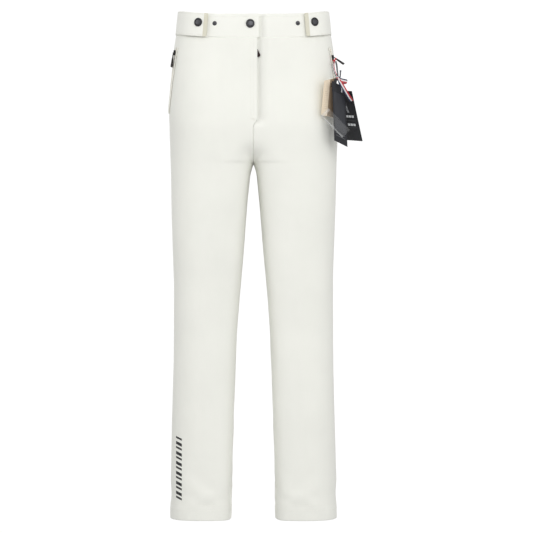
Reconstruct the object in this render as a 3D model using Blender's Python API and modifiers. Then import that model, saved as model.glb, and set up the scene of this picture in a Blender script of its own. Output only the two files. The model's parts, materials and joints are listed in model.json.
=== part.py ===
"""Insulated ski trousers, standing in the shape of a body, zipped and snapped shut.

Metres, +Z up. The origin is the middle of the waist opening, the front faces -Y and the wearer's left is +X.
"Drop" is a distance below the waist opening. The cloth is a set of sheets laid along the garment's outline,
each at its own depth inside it: shell, pocket bag, fly parts, lining and gaiter from the outside in.
"""
import math

import bmesh
import bpy
import numpy as np
from mathutils import Matrix, Vector

# ---- Driving dimensions ----
OUTSEAM = 1.030            # waist opening to hem
BAND_HEIGHT = 0.048
CROTCH = 0.310             # drop of the point where the legs part
SADDLE = 0.045             # height over which the centre seam curves down into the crotch
KNEE_TOP = 0.588           # the knee bends between these two drops
KNEE_BOTTOM = 0.712
FRONT_DIP = 0.012          # the waist is cut this much lower at centre front than at the sides
BACK_RISE = 0.003          # and this much higher at centre back
OUTER_ROUNDNESS = 2.4      # exponent of the outline's superellipse on the outer side; 2 is an ellipse
INNER_ROUNDNESS = 4.6      # and on the inner side, where the leg is flatter and turns more tightly
SEAM = 0.0008              # open line between two sheets that are sewn together
CLEAR = 0.0004             # gap between a piece and what it lies on

SHELL = 0.0016             # cloth thicknesses
LINING = 0.0010
LINING_DEPTH = 0.0120      # how far inside the outline the lining hangs
GAITER_DEPTH = 0.0150
GAITER_CUFF_DEPTH = 0.0260
GUARD = 0.0008

# Half width of the garment at each drop, at the outseam and at the inseam
OUTSEAM_X = ((0, 0.153), (0.048, 0.158), (0.073, 0.162), (0.205, 0.1725), (0.310, 0.168), (0.420, 0.166),
             (0.540, 0.162), (0.700, 0.162), (0.860, 0.166), (1.030, 0.170))
INSEAM_X = ((0.310, 0.0), (0.318, 0.005), (0.367, 0.011), (0.430, 0.0165), (0.563, 0.0275), (0.661, 0.035),
            (0.800, 0.040), (1.030, 0.046))
# Depth of the front and of the back, from the plane of the side seams
FRONT_Y = ((0, 0.088), (0.048, 0.091), (0.235, 0.1055), (0.310, 0.095), (0.420, 0.086), (0.540, 0.079),
           (0.650, 0.074), (0.800, 0.074), (1.030, 0.080))
BACK_Y = ((0, 0.090), (0.048, 0.096), (0.200, 0.120), (0.310, 0.108), (0.420, 0.095), (0.540, 0.083),
          (0.650, 0.077), (0.800, 0.078), (1.030, 0.084))
LOBE_X = ((0, 0.050), (0.310, 0.084))   # deepest point of each half, above the crotch

# Waist hardware, measured across the front from the centre line
SNAP_DROP = 0.020
HARDWARE_SHIFT = 0.006     # the lapped front carries the hardware this far to the wearer's left
TAB_SNAP_X = 0.1145
SPARE_STUD_X = 0.0835
TAB_END_X = 0.0950
TAB_END_SLANT = 0.004
TAB_ROOT_RUN = 0.035       # the tab is sewn on this far behind the side seam
TAB = 0.0014
TAB_LIFT = 0.0036          # how far the snap holds the tab off the band
FRONT_TAB_HINGE_X = -0.030
FRONT_TAB_END_X = 0.012
FRONT_TAB_SNAP_X = -0.006
FRONT_TAB_LIFT = 0.0008
UNDERLAP_JOG = 0.0055      # the band steps in by this much under the front tab

# Fly, in depth below the shell's outer face
FLY_END = 0.222            # drop where the zip opening ends
FLY_MEETS = 0.236          # drop where both fronts meet again in one seam
FLAP_X = 0.008             # the covering fold reaches this far past the centre line
FLY_EDGE_X = 0.0035        # and the edge under it starts here
FLY_JOG = 0.0064
FLY_COIL_TOP = 0.008       # distances from the zip's top
FLY_COIL_SHORT = 0.004     # the coil ends this far above the tape's end
FLY_SLIDER_DOWN = 0.009
FLY_PULL_DOWN = 0.012      # the pull's hinge
FLY_PULL_TILT = math.radians(18)

# Pocket zips: drop and distance in front of the side seam at each end
POCKET_TOP = (0.078, 0.0453)
POCKET_END = (0.205, 0.0217)
SLIDER_START = 0.007       # middle of a closed slider, from the top of the zip
LEFT_ZIP_OPEN = 0.010      # the left zip stands open by this much
PULL_REACH = 0.030
SLIDER_HEIGHT = 0.0041     # of a pocket slider's middle over the line of its zip
PULL_HEIGHT = 0.0064
LEFT_PULL_LIFT = math.radians(62)

SIDES = (("left", 1), ("right", -1))

# ---- Scene and materials ----
for old in list(bpy.data.objects):
    bpy.data.objects.remove(old, do_unlink=True)


PARTS = bpy.data.collections.new("ski_trousers")
bpy.context.scene.collection.children.link(PARTS)


def material(name, colour, roughness, metallic=0.0):
    made = bpy.data.materials.new(name)
    made.use_nodes = True
    shader = made.node_tree.nodes["Principled BSDF"]
    shader.inputs["Base Color"].default_value = (*colour, 1)
    shader.inputs["Roughness"].default_value = roughness
    shader.inputs["Metallic"].default_value = metallic
    return made


WHITE = material("shell_fabric", (0.87, 0.87, 0.82), 0.75)
LINER = material("lining_fabric", (0.62, 0.63, 0.64), 0.6)
TAPE = material("zip_tape", (0.76, 0.67, 0.55), 0.7)
WHITE_TAPE = material("fly_zip_tape", (0.80, 0.80, 0.76), 0.7)
BLACK = material("black_plastic", (0.015, 0.013, 0.013), 0.45)
GUNMETAL = material("gunmetal", (0.09, 0.09, 0.10), 0.35, 0.9)
BLACK_CARD = material("black_card", (0.02, 0.022, 0.027), 0.6)
CREAM_CARD = material("cream_card", (0.80, 0.70, 0.55), 0.8)
CLEAR_FILM = material("clear_film", (0.75, 0.76, 0.76), 0.2)
RIBBON = material("ribbon", (0.55, 0.03, 0.05), 0.6)


def add(name, mesh, finish):
    made = bpy.data.objects.new(name, mesh)
    made.data.materials.append(finish)
    PARTS.objects.link(made)
    return made


# ---- The garment's outline ----
CURVE_POINTS = 40          # points from the inner edge to the deepest point, and from there to the side seam


def at_drop(table, drop):
    drops, values = zip(*table)
    return float(np.interp(drop, drops, values))


def half_outline(drop, depths, start):
    """Points from the inner edge round to the side seam, as (distance from centre, depth).

    Above the crotch the curve begins at start, which may lie past the centre line; below it, at the inseam.
    """
    out = at_drop(OUTSEAM_X, drop)
    depth = at_drop(depths, drop)
    if drop >= CROTCH:
        inner = at_drop(INSEAM_X, drop)
        middle = (out + inner) / 2
        reach = middle - inner
        first = 0.0
    else:
        middle = at_drop(LOBE_X, drop)
        rise = min(1.0, (CROTCH - drop) / SADDLE)
        seam_depth = min(0.9999, math.sqrt(1 - (1 - rise) ** 2))
        reach = middle / (1 - seam_depth ** INNER_ROUNDNESS) ** (1 / INNER_ROUNDNESS)
        first = math.acos(min(1.0, ((middle - start) / reach)) ** (INNER_ROUNDNESS / 2))
    inner_turn = np.linspace(first, math.pi / 2, CURVE_POINTS)
    outer_turn = np.linspace(math.pi / 2, 0, CURVE_POINTS)[1:]
    inner_power, outer_power = 2 / INNER_ROUNDNESS, 2 / OUTER_ROUNDNESS
    inner_x = middle - reach * np.cos(inner_turn).clip(0) ** inner_power
    outer_x = middle + (out - middle) * np.cos(outer_turn).clip(0) ** outer_power
    inner_depth = depth * np.sin(inner_turn).clip(0) ** inner_power
    outer_depth = depth * np.sin(outer_turn).clip(0) ** outer_power
    return np.column_stack((np.concatenate((inner_x, outer_x)), np.concatenate((inner_depth, outer_depth))))


def spread(ends, shares):
    """Values at the given shares of each stretch between ends, each meeting point once."""
    values = [ends[0]]
    for low, high, stretch in zip(ends, ends[1:], shares):
        values += [low + share * (high - low) for share in stretch[1:]]
    return values


class Outline:
    """One side of the garment at one drop, from centre front round the side seam to centre back."""

    def __init__(self, drop, side, start=SEAM / 2):
        front = half_outline(drop, FRONT_Y, start)
        back = half_outline(drop, BACK_Y, SEAM / 2)
        points = np.vstack((front * (1, -1), back[::-1][1:]))
        steps = np.linalg.norm(np.diff(points, axis=0), axis=1)
        tangent = np.gradient(points, axis=0)
        tangent /= np.linalg.norm(tangent, axis=1)[:, None]
        self.run = np.concatenate(((0,), np.cumsum(steps)))
        self.side_run = self.run[len(front) - 1]
        self.end = self.run[-1]
        self.front_deep = self.run[CURVE_POINTS - 1]
        self.back_deep = self.run[-CURVE_POINTS]
        self.front_x = front[:, 0]
        self.x = side * points[:, 0]
        self.y = points[:, 1]
        self.normal_x = side * tangent[:, 1]
        self.normal_y = -tangent[:, 0]
        sloped = float(np.interp(drop, (BAND_HEIGHT, FLY_MEETS), (1, 0)))
        forward = (-self.y / at_drop(FRONT_Y, drop)).clip(0)
        backward = (self.y / at_drop(BACK_Y, drop)).clip(0)
        self.z = -drop - sloped * (FRONT_DIP * forward ** 2 - BACK_RISE * backward ** 2)

    def read(self, values, run):
        return float(np.interp(run, self.run, values))

    def run_at(self, x):
        """The run at a given distance from the centre line, on the front."""
        return float(np.interp(x, self.front_x, self.run[:len(self.front_x)]))

    def front_stops(self, first, inner, outer):
        """Runs over the front, as shares of the way to its deepest point and on to the side seam."""
        last = self.side_run - SEAM / 2
        return spread((first, self.front_deep, last), (inner, outer))

    def back_stops(self, last, inner, outer):
        """Runs over the back, from the side seam inwards, at the mirror image of the front's shares."""
        first = self.side_run + SEAM / 2
        mirrored = [[1 - share for share in shares[::-1]] for shares in (outer, inner)]
        return spread((first, self.back_deep, last), mirrored)

    def normal(self, run):
        return Vector((self.read(self.normal_x, run), self.read(self.normal_y, run), 0)).normalized()

    def at(self, run, depth=0.0):
        """The point at a run, moved into the garment by depth."""
        place = Vector((self.read(self.x, run), self.read(self.y, run), self.read(self.z, run)))
        return place - self.normal(run) * depth


def smooth_step(value):
    value = min(1.0, max(0.0, value))
    return value * value * (3 - 2 * value)


# ---- Shape makers ----
def sheet(name, rows, thickness, finish, side=1):
    """A cloth sheet through rows of points, its outer face on the points, thickened inwards."""
    mesh = bpy.data.meshes.new(name)
    width = len(rows[0])
    faces = []
    for r in range(len(rows) - 1):
        for c in range(width - 1):
            corner = r * width + c
            face = (corner, corner + width, corner + width + 1, corner + 1)
            faces.append(face if side > 0 else face[::-1])
    mesh.from_pydata([point for row in rows for point in row], [], faces)
    made = add(name, mesh, finish)
    thick = made.modifiers.new("cloth", "SOLIDIFY")
    thick.thickness = thickness
    thick.offset = -1
    return made


def turned(name, profile, place, finish, steps=12):
    """A turned piece: the profile's (radius, height) points run down its outer side."""
    mesh = bpy.data.meshes.new(name)
    edges = [(i, i + 1) for i in range(len(profile) - 1)]
    mesh.from_pydata([(radius, 0, height) for radius, height in profile], edges, [])
    made = add(name, mesh, finish)
    made.matrix_world = place
    screw = made.modifiers.new("turn", "SCREW")
    screw.steps = steps
    screw.render_steps = steps
    screw.use_merge_vertices = True
    screw.merge_threshold = 0.00001
    return made


def block(name, size, place, finish, edge=0.0):
    mesh = bpy.data.meshes.new(name)
    shape = bmesh.new()
    bmesh.ops.create_cube(shape, size=1, matrix=Matrix.Diagonal((*size, 1)))
    shape.to_mesh(mesh)
    shape.free()
    made = add(name, mesh, finish)
    made.matrix_world = place
    if edge:
        bevel = made.modifiers.new("edge", "BEVEL")
        bevel.width = edge
        bevel.segments = 1
    return made


def plate(name, outline, thickness, place, finish):
    """A flat piece from its outline in the plane z = 0, which runs through the middle of its thickness."""
    mesh = bpy.data.meshes.new(name)
    mesh.from_pydata([(x, y, 0) for x, y in outline], [], [tuple(range(len(outline)))])
    made = add(name, mesh, finish)
    made.matrix_world = place
    thick = made.modifiers.new("plate", "SOLIDIFY")
    thick.thickness = thickness
    thick.offset = 0
    return made


def placement(origin, across, up):
    """A frame at origin whose X is along across and whose Z is along up."""
    up = up.normalized()
    along = up.cross(across).normalized()
    across = along.cross(up)
    frame = Matrix((across, along, up)).transposed().to_4x4()
    frame.translation = origin
    return frame


# ---- Shell, lining, gaiters and guards ----
UPPER_DROPS = (BAND_HEIGHT + SEAM, 0.073, 0.120, 0.165, 0.205, FLY_END, FLY_MEETS, 0.250, 0.265, 0.279,
               0.2915, 0.3015, 0.3078, CROTCH, 0.318, 0.345, 0.390, 0.430, 0.490, 0.540, KNEE_TOP - SEAM / 2)
KNEE_DROPS = (KNEE_TOP + SEAM / 2, 0.620, 0.650, 0.680, KNEE_BOTTOM - SEAM / 2)
LOWER_DROPS = (KNEE_BOTTOM + SEAM / 2, 0.760, 0.820, 0.880, 0.940, 0.990, OUTSEAM)
# Columns, as shares of the way from the inner edge to the deepest point and on to the side seam
INNER_STOPS = (0, 0.28, 0.46, 0.60, 0.77, 1)
FLY_STOPS = (0, 0.06, 0.12, 0.18, 0.24, 0.40, 0.66, 1)   # closer by the fly
OUTER_STOPS = (0, 0.22, 0.42, 0.62, 0.82, 1)
LOOSE_STOPS = (0, 0.35, 0.68, 1)                         # linings and gaiters
FLY_JOG_FROM = 0.024       # the shell is full height here, and fully stepped in at FLY_JOG_TO
FLY_JOG_TO = 0.012


def fly_share(drop):
    return float(np.interp(drop, (FLY_END, FLY_MEETS), (1, 0)))


def front_row(drop, side):
    """A row of the front panel. By the fly the right front laps over the left, which steps in below it."""
    share = fly_share(drop)
    if side < 0:
        start = -FLAP_X * share + SEAM / 2 * (1 - share)
    else:
        start = FLY_EDGE_X if drop <= FLY_MEETS else SEAM / 2
    outline = Outline(drop, side, start)
    first = SEAM / 2 if drop >= CROTCH else 0.0
    inner = FLY_STOPS if side > 0 and drop < KNEE_TOP else INNER_STOPS
    row = []
    for run in outline.front_stops(first, inner, OUTER_STOPS):
        from_centre = outline.read(outline.x, run)
        jog = 0.0
        if side > 0 and share > 0:
            jog = FLY_JOG * share * smooth_step((FLY_JOG_FROM - from_centre) / (FLY_JOG_FROM - FLY_JOG_TO))
        row.append(outline.at(run, jog))
    return row


def back_row(drop, side):
    outline = Outline(drop, side)
    last = outline.end - (SEAM / 2 if drop >= CROTCH else 0.0)
    return [outline.at(run) for run in outline.back_stops(last, INNER_STOPS, OUTER_STOPS)]


def tube_row(drop, side, depth):
    """A row that runs from the centre front or inseam right round to the centre back or inseam."""
    outline = Outline(drop, side)
    trim = 0.0 if drop < CROTCH else SEAM
    front = outline.front_stops(trim, LOOSE_STOPS, LOOSE_STOPS)
    back = outline.back_stops(outline.end - trim, LOOSE_STOPS, LOOSE_STOPS)
    return [outline.at(run, depth) for run in front[:-1] + [outline.side_run] + back[1:]]


def make_shell():
    for name, side in SIDES:
        for part, drops in (("upper", UPPER_DROPS), ("knee", KNEE_DROPS), ("lower", LOWER_DROPS)):
            fronts = [front_row(drop, side) for drop in drops]
            backs = [back_row(drop, side) for drop in drops]
            sheet(f"{name}_front_panel_{part}", fronts, SHELL, WHITE, side)
            sheet(f"{name}_back_panel_{part}", backs, SHELL, WHITE, side)


LINING_DROPS = (BAND_HEIGHT + 2 * SEAM, 0.150, 0.235, 0.279, 0.3015, CROTCH, 0.345, 0.430, 0.540, 0.650,
                0.760, 0.850)
GAITER_DROPS = (0.836, 0.900, 0.960, 1.000)


def make_linings_and_gaiters():
    for name, side in SIDES:
        lining = [tube_row(drop, side, LINING_DEPTH) for drop in LINING_DROPS]
        sheet(f"{name}_lining", lining, LINING, LINER, side)
        gaiter = []
        for drop in GAITER_DROPS:
            tuck = (drop - GAITER_DROPS[0]) / (GAITER_DROPS[-1] - GAITER_DROPS[0])
            depth = GAITER_DEPTH + (GAITER_CUFF_DEPTH - GAITER_DEPTH) * smooth_step(tuck)
            gaiter.append(tube_row(drop, side, depth))
        sheet(f"{name}_snow_gaiter", gaiter, LINING, LINER, side)


GUARD_DROPS = (0.960, 0.985, 1.010, OUTSEAM)
GUARD_WRAP = 0.040         # the guard reaches this far from the inseam, to the front and to the back


def make_scuff_guards():
    """Each guard wraps round the inseam, outside the shell."""
    for name, side in SIDES:
        rows = []
        for drop in GUARD_DROPS:
            outline = Outline(drop, side)
            runs = [-GUARD_WRAP + i * GUARD_WRAP / 4 for i in range(9)]
            rows.append([outline.at(run % outline.end, -CLEAR - GUARD) for run in runs])
        sheet(f"{name}_scuff_guard", rows, GUARD, WHITE, side)


# ---- Waistband, tabs and snaps ----
BAND_DEPTH = 0.0010        # the band lies this far inside the outline, under the tabs
BAND_DROPS = (0.0, BAND_HEIGHT / 2, BAND_HEIGHT)
BAND_STOPS = tuple(i / 9 for i in range(10))
UNDERLAP_STOPS = (0, 0.12, 0.20, 0.25, 0.29, 0.33, 0.42, 0.52, 0.64, 0.76, 0.88, 1)   # closer by the step
UNDERLAP_FROM = 0.003      # the step out from under the front tab starts this far past the tab's end
UNDERLAP_RISE = 0.014      # and is this wide
UNDERLAP_SHORT = 0.004     # the underlap ends this far from the front tab's hinge
TAB_INSET = 0.0005         # side tabs are this much shorter than the band, above and below
TAB_DROPS = (TAB_INSET, BAND_HEIGHT / 2, BAND_HEIGHT - TAB_INSET)
FRONT_TAB_COLUMNS = 6
SIDE_TAB_COLUMNS = 14
TAB_LIFT_FROM = 0.075      # run from the tab's end where it starts to rise off the band
TAB_LIFT_RISE = 0.045


def make_waistband():
    left, right, back = [], [], []
    for drop in BAND_DROPS:
        outline = Outline(drop, 1, FRONT_TAB_HINGE_X + UNDERLAP_SHORT)
        last = outline.side_run - SEAM / 2
        row = []
        for stop in UNDERLAP_STOPS:
            run = stop * last
            past_tab = outline.read(outline.x, run) - FRONT_TAB_END_X
            jog = UNDERLAP_JOG * smooth_step(1 - (past_tab - UNDERLAP_FROM) / UNDERLAP_RISE)
            row.append(outline.at(run, BAND_DEPTH + jog))
        left.append(row)
        outline = Outline(drop, -1)
        first = outline.run_at(-FRONT_TAB_HINGE_X + SEAM / 2)
        last = outline.side_run - SEAM / 2
        right.append([outline.at(first + stop * (last - first), BAND_DEPTH) for stop in BAND_STOPS])
        row = []
        for side, stops in ((1, BAND_STOPS), (-1, BAND_STOPS[::-1])):
            outline = Outline(drop, side)
            first = outline.side_run + SEAM / 2
            row += [outline.at(first + stop * (outline.end - first), BAND_DEPTH) for stop in stops]
        back.append(row)
    sheet("waistband_left", left, SHELL, WHITE, 1)
    sheet("waistband_right", right, SHELL, WHITE, -1)
    sheet("waistband_back", back, SHELL, WHITE, 1)


def make_front_tab():
    rows = []
    for drop in BAND_DROPS:
        outline = Outline(drop, -1, -FRONT_TAB_END_X)
        last = outline.run_at(-FRONT_TAB_HINGE_X - SEAM / 2)
        shares = [i / FRONT_TAB_COLUMNS for i in range(FRONT_TAB_COLUMNS + 1)]
        rows.append([outline.at(share * last, BAND_DEPTH - FRONT_TAB_LIFT * smooth_step((1 - share) * 2))
                     for share in shares])
    sheet("front_tab", rows, SHELL, WHITE, -1)


def make_side_tabs():
    for name, side in SIDES:
        rows = []
        for drop in TAB_DROPS:
            outline = Outline(drop, side)
            end_x = TAB_END_X + side * HARDWARE_SHIFT + TAB_END_SLANT * drop / BAND_HEIGHT
            first = outline.run_at(end_x)
            last = outline.side_run + TAB_ROOT_RUN
            row = []
            for i in range(SIDE_TAB_COLUMNS + 1):
                run = first + i / SIDE_TAB_COLUMNS * (last - first)
                lift = TAB_LIFT * smooth_step((first + TAB_LIFT_FROM - run) / TAB_LIFT_RISE)
                row.append(outline.at(run, BAND_DEPTH - CLEAR - TAB - lift))
            rows.append(row)
        sheet(f"{name}_side_tab", rows, TAB, WHITE, side)


STUD_RADIUS = 0.0045
POST_RADIUS = 0.0028
SOCKET_RADIUS = 0.0055
SOCKET_HEIGHT = 0.0011
CAP_RADIUS = 0.0088
CAP_HEIGHT = 0.0022
CLOSED_STUD = 0.0015       # height of a stud under a closed snap, and of a spare one
SPARE_STUD = 0.0030


def stud(name, place, height):
    """A stud: a flange on the band and a post with a flat end, its height above the band."""
    flange = 2.75 * CLEAR
    turned(name, [(0, height), (POST_RADIUS, height), (POST_RADIUS, flange), (STUD_RADIUS, flange),
                  (STUD_RADIUS, CLEAR), (0, CLEAR)], place, GUNMETAL)


def snap(name, place, room, tab):
    """A closed snap: the stud on the band, the socket under the tab and the cap on top of the tab."""
    under = room - 2.5 * CLEAR
    above = room + tab + CLEAR
    stud(f"{name}_stud", place, CLOSED_STUD)
    rim = under - SOCKET_HEIGHT
    turned(f"{name}_socket", [(POST_RADIUS, under), (SOCKET_RADIUS, under), (SOCKET_RADIUS, rim),
                              (POST_RADIUS, rim), (POST_RADIUS, under)], place, GUNMETAL)
    turned(f"{name}_cap", [(0, above + CAP_HEIGHT), (CAP_RADIUS - CAP_HEIGHT, above + 0.9 * CAP_HEIGHT),
                           (CAP_RADIUS, above + 0.45 * CAP_HEIGHT), (CAP_RADIUS, above), (0, above)],
           place, GUNMETAL, 20)


def band_place(side, from_centre, depth):
    """A frame on the band's outer face, Z pointing outwards."""
    start = min(SEAM / 2, from_centre)
    drops = (SNAP_DROP * 0.5, SNAP_DROP, SNAP_DROP * 1.5)
    above, outline, below = (Outline(drop, side, start) for drop in drops)
    run = outline.run_at(from_centre)
    level = outline.normal(run)
    fall = below.at(below.run_at(from_centre)) - above.at(above.run_at(from_centre))
    outward = fall.cross(Vector((-level.y, level.x, 0))).normalized()
    return placement(outline.at(run) - outward * depth, Vector((1, 0, 0)), outward)


def make_snaps():
    for name, side in SIDES:
        shift = side * HARDWARE_SHIFT
        snap(f"{name}_tab", band_place(side, TAB_SNAP_X + shift, BAND_DEPTH), TAB_LIFT + CLEAR, TAB)
        stud(f"{name}_spare_stud", band_place(side, SPARE_STUD_X + shift, BAND_DEPTH), SPARE_STUD)
    place = band_place(-1, -FRONT_TAB_SNAP_X, BAND_DEPTH + UNDERLAP_JOG)
    snap("front_tab", place, UNDERLAP_JOG - SHELL + FRONT_TAB_LIFT, SHELL)


# ---- Fly zip ----
FLY_TOP_POINT = Outline(BAND_HEIGHT + 2 * SEAM, 1).at(0.0)
FLY_END_POINT = Outline(FLY_END, 1).at(0.0)
FLY_DOWN = (FLY_END_POINT - FLY_TOP_POINT).normalized()


def fly_place(down, depth, across=0.0):
    """A frame in the fly's plane: X to the wearer's left, Y up, Z outwards, at a distance down the zip."""
    outward = Vector((1, 0, 0)).cross(-FLY_DOWN)
    origin = Vector((across, FLY_TOP_POINT.y, FLY_TOP_POINT.z)) + FLY_DOWN * down - outward * depth
    return placement(origin, Vector((1, 0, 0)), outward)


FLY_LENGTH = (FLY_END_POINT - FLY_TOP_POINT).length


def pull_outline(reach, neck, foot, back=0.0006, neck_end=0.0065):
    """A zip pull that hangs from its hinge at the origin: a narrow neck, then a rounded foot."""
    corner = foot * 0.3
    half = foot / 2
    right = [(neck / 2, back), (neck / 2, -neck_end * 0.6), (neck * 0.72, -neck_end)]
    right += [(half - corner + corner * math.cos(turn), -reach + corner - corner * math.sin(turn))
              for turn in (0, math.pi / 6, math.pi / 3, math.pi / 2)]
    return right + [(-x, y) for x, y in right[::-1]]


def make_fly():
    down = FLY_LENGTH / 2
    block("fly_zip_tape", (0.026, FLY_LENGTH, 0.0007), fly_place(down, 0.00875), WHITE_TAPE)
    coil_length = FLY_LENGTH - FLY_COIL_TOP - FLY_COIL_SHORT
    block("fly_zip_coil", (0.005, coil_length, 0.0015), fly_place(FLY_COIL_TOP + coil_length / 2, 0.0073),
          WHITE_TAPE, 0.0004)
    block("fly_shield", (0.050, FLY_LENGTH, 0.0010), fly_place(down, 0.0101, -0.003), LINER)
    block("fly_slider", (0.0080, 0.0110, 0.0026), fly_place(FLY_SLIDER_DOWN, 0.0048), BLACK, 0.0008)
    hang = fly_place(FLY_PULL_DOWN, 0.0025, 0.002) @ Matrix.Rotation(FLY_PULL_TILT, 4, "Z")
    plate("fly_pull", pull_outline(0.027, 0.0045, 0.0100), 0.0010, hang, BLACK)


# ---- Hip pockets ----
ZIP_TAPE = 0.0009
ZIP_HALF_WIDTH = 0.0035
BAG_DEPTH = 0.0045
BAG = 0.0030               # both layers of the empty bag


class PocketZip:
    """The straight line of one pocket zip on the shell."""

    def __init__(self, side):
        ends, normals = [], []
        for drop, before_seam in (POCKET_TOP, POCKET_END):
            outline = Outline(drop, side)
            ends.append(outline.at(outline.side_run - before_seam))
            normals.append(outline.normal(outline.side_run - before_seam))
        self.top = ends[0]
        self.down = (ends[1] - ends[0]).normalized()
        self.length = (ends[1] - ends[0]).length
        outward = normals[0] + normals[1]
        self.outward = (outward - self.down * outward.dot(self.down)).normalized()
        self.across = self.outward.cross(self.down)

    def place(self, down, height, lift=0.0):
        """A frame at a distance down the zip: Y up along it, Z outwards, swung outwards by lift."""
        origin = self.top + self.down * down + self.outward * height
        frame = placement(origin, self.across, self.outward)
        return frame @ Matrix.Rotation(-lift, 4, "X")


def make_pockets():
    for name, side in SIDES:
        line = PocketZip(side)
        rows = []
        for i in range(7):
            drop, before_seam = (a + i / 6 * (b - a) for a, b in zip(POCKET_TOP, POCKET_END))
            outline = Outline(drop, side)
            middle = outline.side_run - before_seam
            rows.append([outline.at(middle + across, -CLEAR - ZIP_TAPE)
                         for across in (-ZIP_HALF_WIDTH, 0, ZIP_HALF_WIDTH)])
        sheet(f"{name}_pocket_zip", rows, ZIP_TAPE, TAPE, side)
        slid = SLIDER_START + (LEFT_ZIP_OPEN if side > 0 else 0)
        block(f"{name}_pocket_slider", (0.0062, 0.0105, 0.0026), line.place(slid, SLIDER_HEIGHT),
              BLACK, 0.0009)
        lift = LEFT_PULL_LIFT if side > 0 else 0.0
        plate(f"{name}_pocket_pull", pull_outline(PULL_REACH, 0.0050, 0.0120), 0.0012,
              line.place(slid, PULL_HEIGHT, lift), BLACK)
        rows = []
        for drop in (0.085, 0.130, 0.180, 0.230, 0.270):
            outline = Outline(drop, side)
            seam = outline.side_run
            reach = 0.095 if drop > 0.1 else 0.080
            rows.append([outline.at(seam - 0.012 - i / 5 * reach, BAG_DEPTH) for i in range(6)][::-1])
        sheet(f"{name}_pocket_bag", rows, BAG, LINER, side)


# ---- Hang tags on the left pocket slider ----
CARD = 0.0008
# Each card: a top corner, the directions of its top edge and of its side edge, its size, and how much lower
# its far side is than its near one, at the top and at the bottom
CARDS = {
    "cream_tag": ((0.1420, -0.0970, -0.1477), (0.77, 0.64, 0.0), (-0.093, -0.05, -0.995),
                  (0.034, 0.068), (-0.009, 0.005), CREAM_CARD),
    "narrow_black_tag": ((0.1573, -0.1000, -0.1480), (0.735, 0.68, 0.0), (0.04, 0.0, -0.999),
                         (0.0365, 0.119), (0.012, 0.012), BLACK_CARD),
    "wide_black_tag": ((0.1670, -0.0520, -0.1633), (0.68, -0.73, -0.09), (0.215, 0.302, -0.929),
                       (0.045, 0.1065), (0.0, 0.0), BLACK_CARD),
    "clear_sleeve": ((0.1497, -0.1060, -0.2025), (0.70, -0.02, -0.71), (-0.71, 0.0, -0.70),
                     (0.062, 0.022), (0.0, 0.0), CLEAR_FILM),
}
RIBBON_RADIUS = 0.0022
RIBBON_ROUTE = ((0.1630, -0.0520, -0.1065), (0.1612, -0.0620, -0.1152), (0.1645, -0.0760, -0.1304),
                (0.1709, -0.0900, -0.1442), (0.1765, -0.0965, -0.1545), (0.1842, -0.0950, -0.1680),
                (0.1913, -0.0890, -0.1793), (0.1976, -0.0810, -0.1873))
PIN_ENDS = ((0.1748, -0.0860, -0.1258), (0.1742, -0.0860, -0.1395))


def smooth_route(points, spacing):
    """A smooth curve through the points, as points one spacing apart (Catmull-Rom)."""
    points = [Vector(p) for p in points]
    ends = [points[0] * 2 - points[1]] + points + [points[-1] * 2 - points[-2]]
    dense = []
    for a, b, c, d in zip(ends, ends[1:], ends[2:], ends[3:]):
        for step in range(20):
            t = step / 20
            dense.append((b * 2 + (c - a) * t + (a * 2 - b * 5 + c * 4 - d) * t ** 2
                          + (b * 3 - a - c * 3 + d) * t ** 3) / 2)
    dense.append(points[-1])
    run = np.concatenate(((0,), np.cumsum([(q - p).length for p, q in zip(dense, dense[1:])])))
    stops = np.linspace(0, run[-1], max(2, round(run[-1] / spacing)) + 1)
    columns = [np.interp(stops, run, [p[axis] for p in dense]) for axis in range(3)]
    return [Vector(p) for p in zip(*columns)]


def tube(name, points, radius, finish, sides=2):
    curve = bpy.data.curves.new(name, "CURVE")
    curve.dimensions = "3D"
    curve.bevel_depth = radius
    curve.bevel_resolution = sides
    curve.use_fill_caps = True
    line = curve.splines.new("POLY")
    line.points.add(len(points) - 1)
    for point, place in zip(line.points, points):
        point.co = (*place, 1)
    return add(name, curve, finish)


def make_tags():
    for name, (corner, top_edge, side_edge, (width, height), (top_drop, low_drop), finish) in CARDS.items():
        across = Vector(top_edge).normalized()
        side = Vector(side_edge).normalized()
        lean = side.dot(across)
        down = (side - across * lean).normalized()
        frame = placement(Vector(corner), across, down.cross(across))
        outline = ((0, 0), (lean * height, -height), (width + lean * height, -height - low_drop),
                   (width, -top_drop))
        plate(name, outline, CARD, frame, finish)
    tube("tag_ribbon", smooth_route(RIBBON_ROUTE, 0.006), RIBBON_RADIUS, RIBBON)
    tube("tag_pin", [Vector(end) for end in PIN_ENDS], 0.0009, CLEAR_FILM)


make_shell()
make_linings_and_gaiters()
make_scuff_guards()
make_waistband()
make_front_tab()
make_side_tabs()
make_snaps()
make_fly()
make_pockets()
make_tags()
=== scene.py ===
"""The looks of the white ski trousers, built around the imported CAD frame.

Metres, +Z up, in the frame of the CAD: the origin is the middle of the waist opening, the front faces -Y and
the wearer's left is +X. The cloth is a set of sheets that follow the CAD's outline: one coarse net is read
from the CAD's panels by casting rays, settled by a cloth simulation, subdivided, and cut along the seams.
"""
import json
import math

import bmesh
import bpy
import numpy as np
from mathutils import Matrix, Vector, noise
from mathutils.bvhtree import BVHTree


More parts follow.
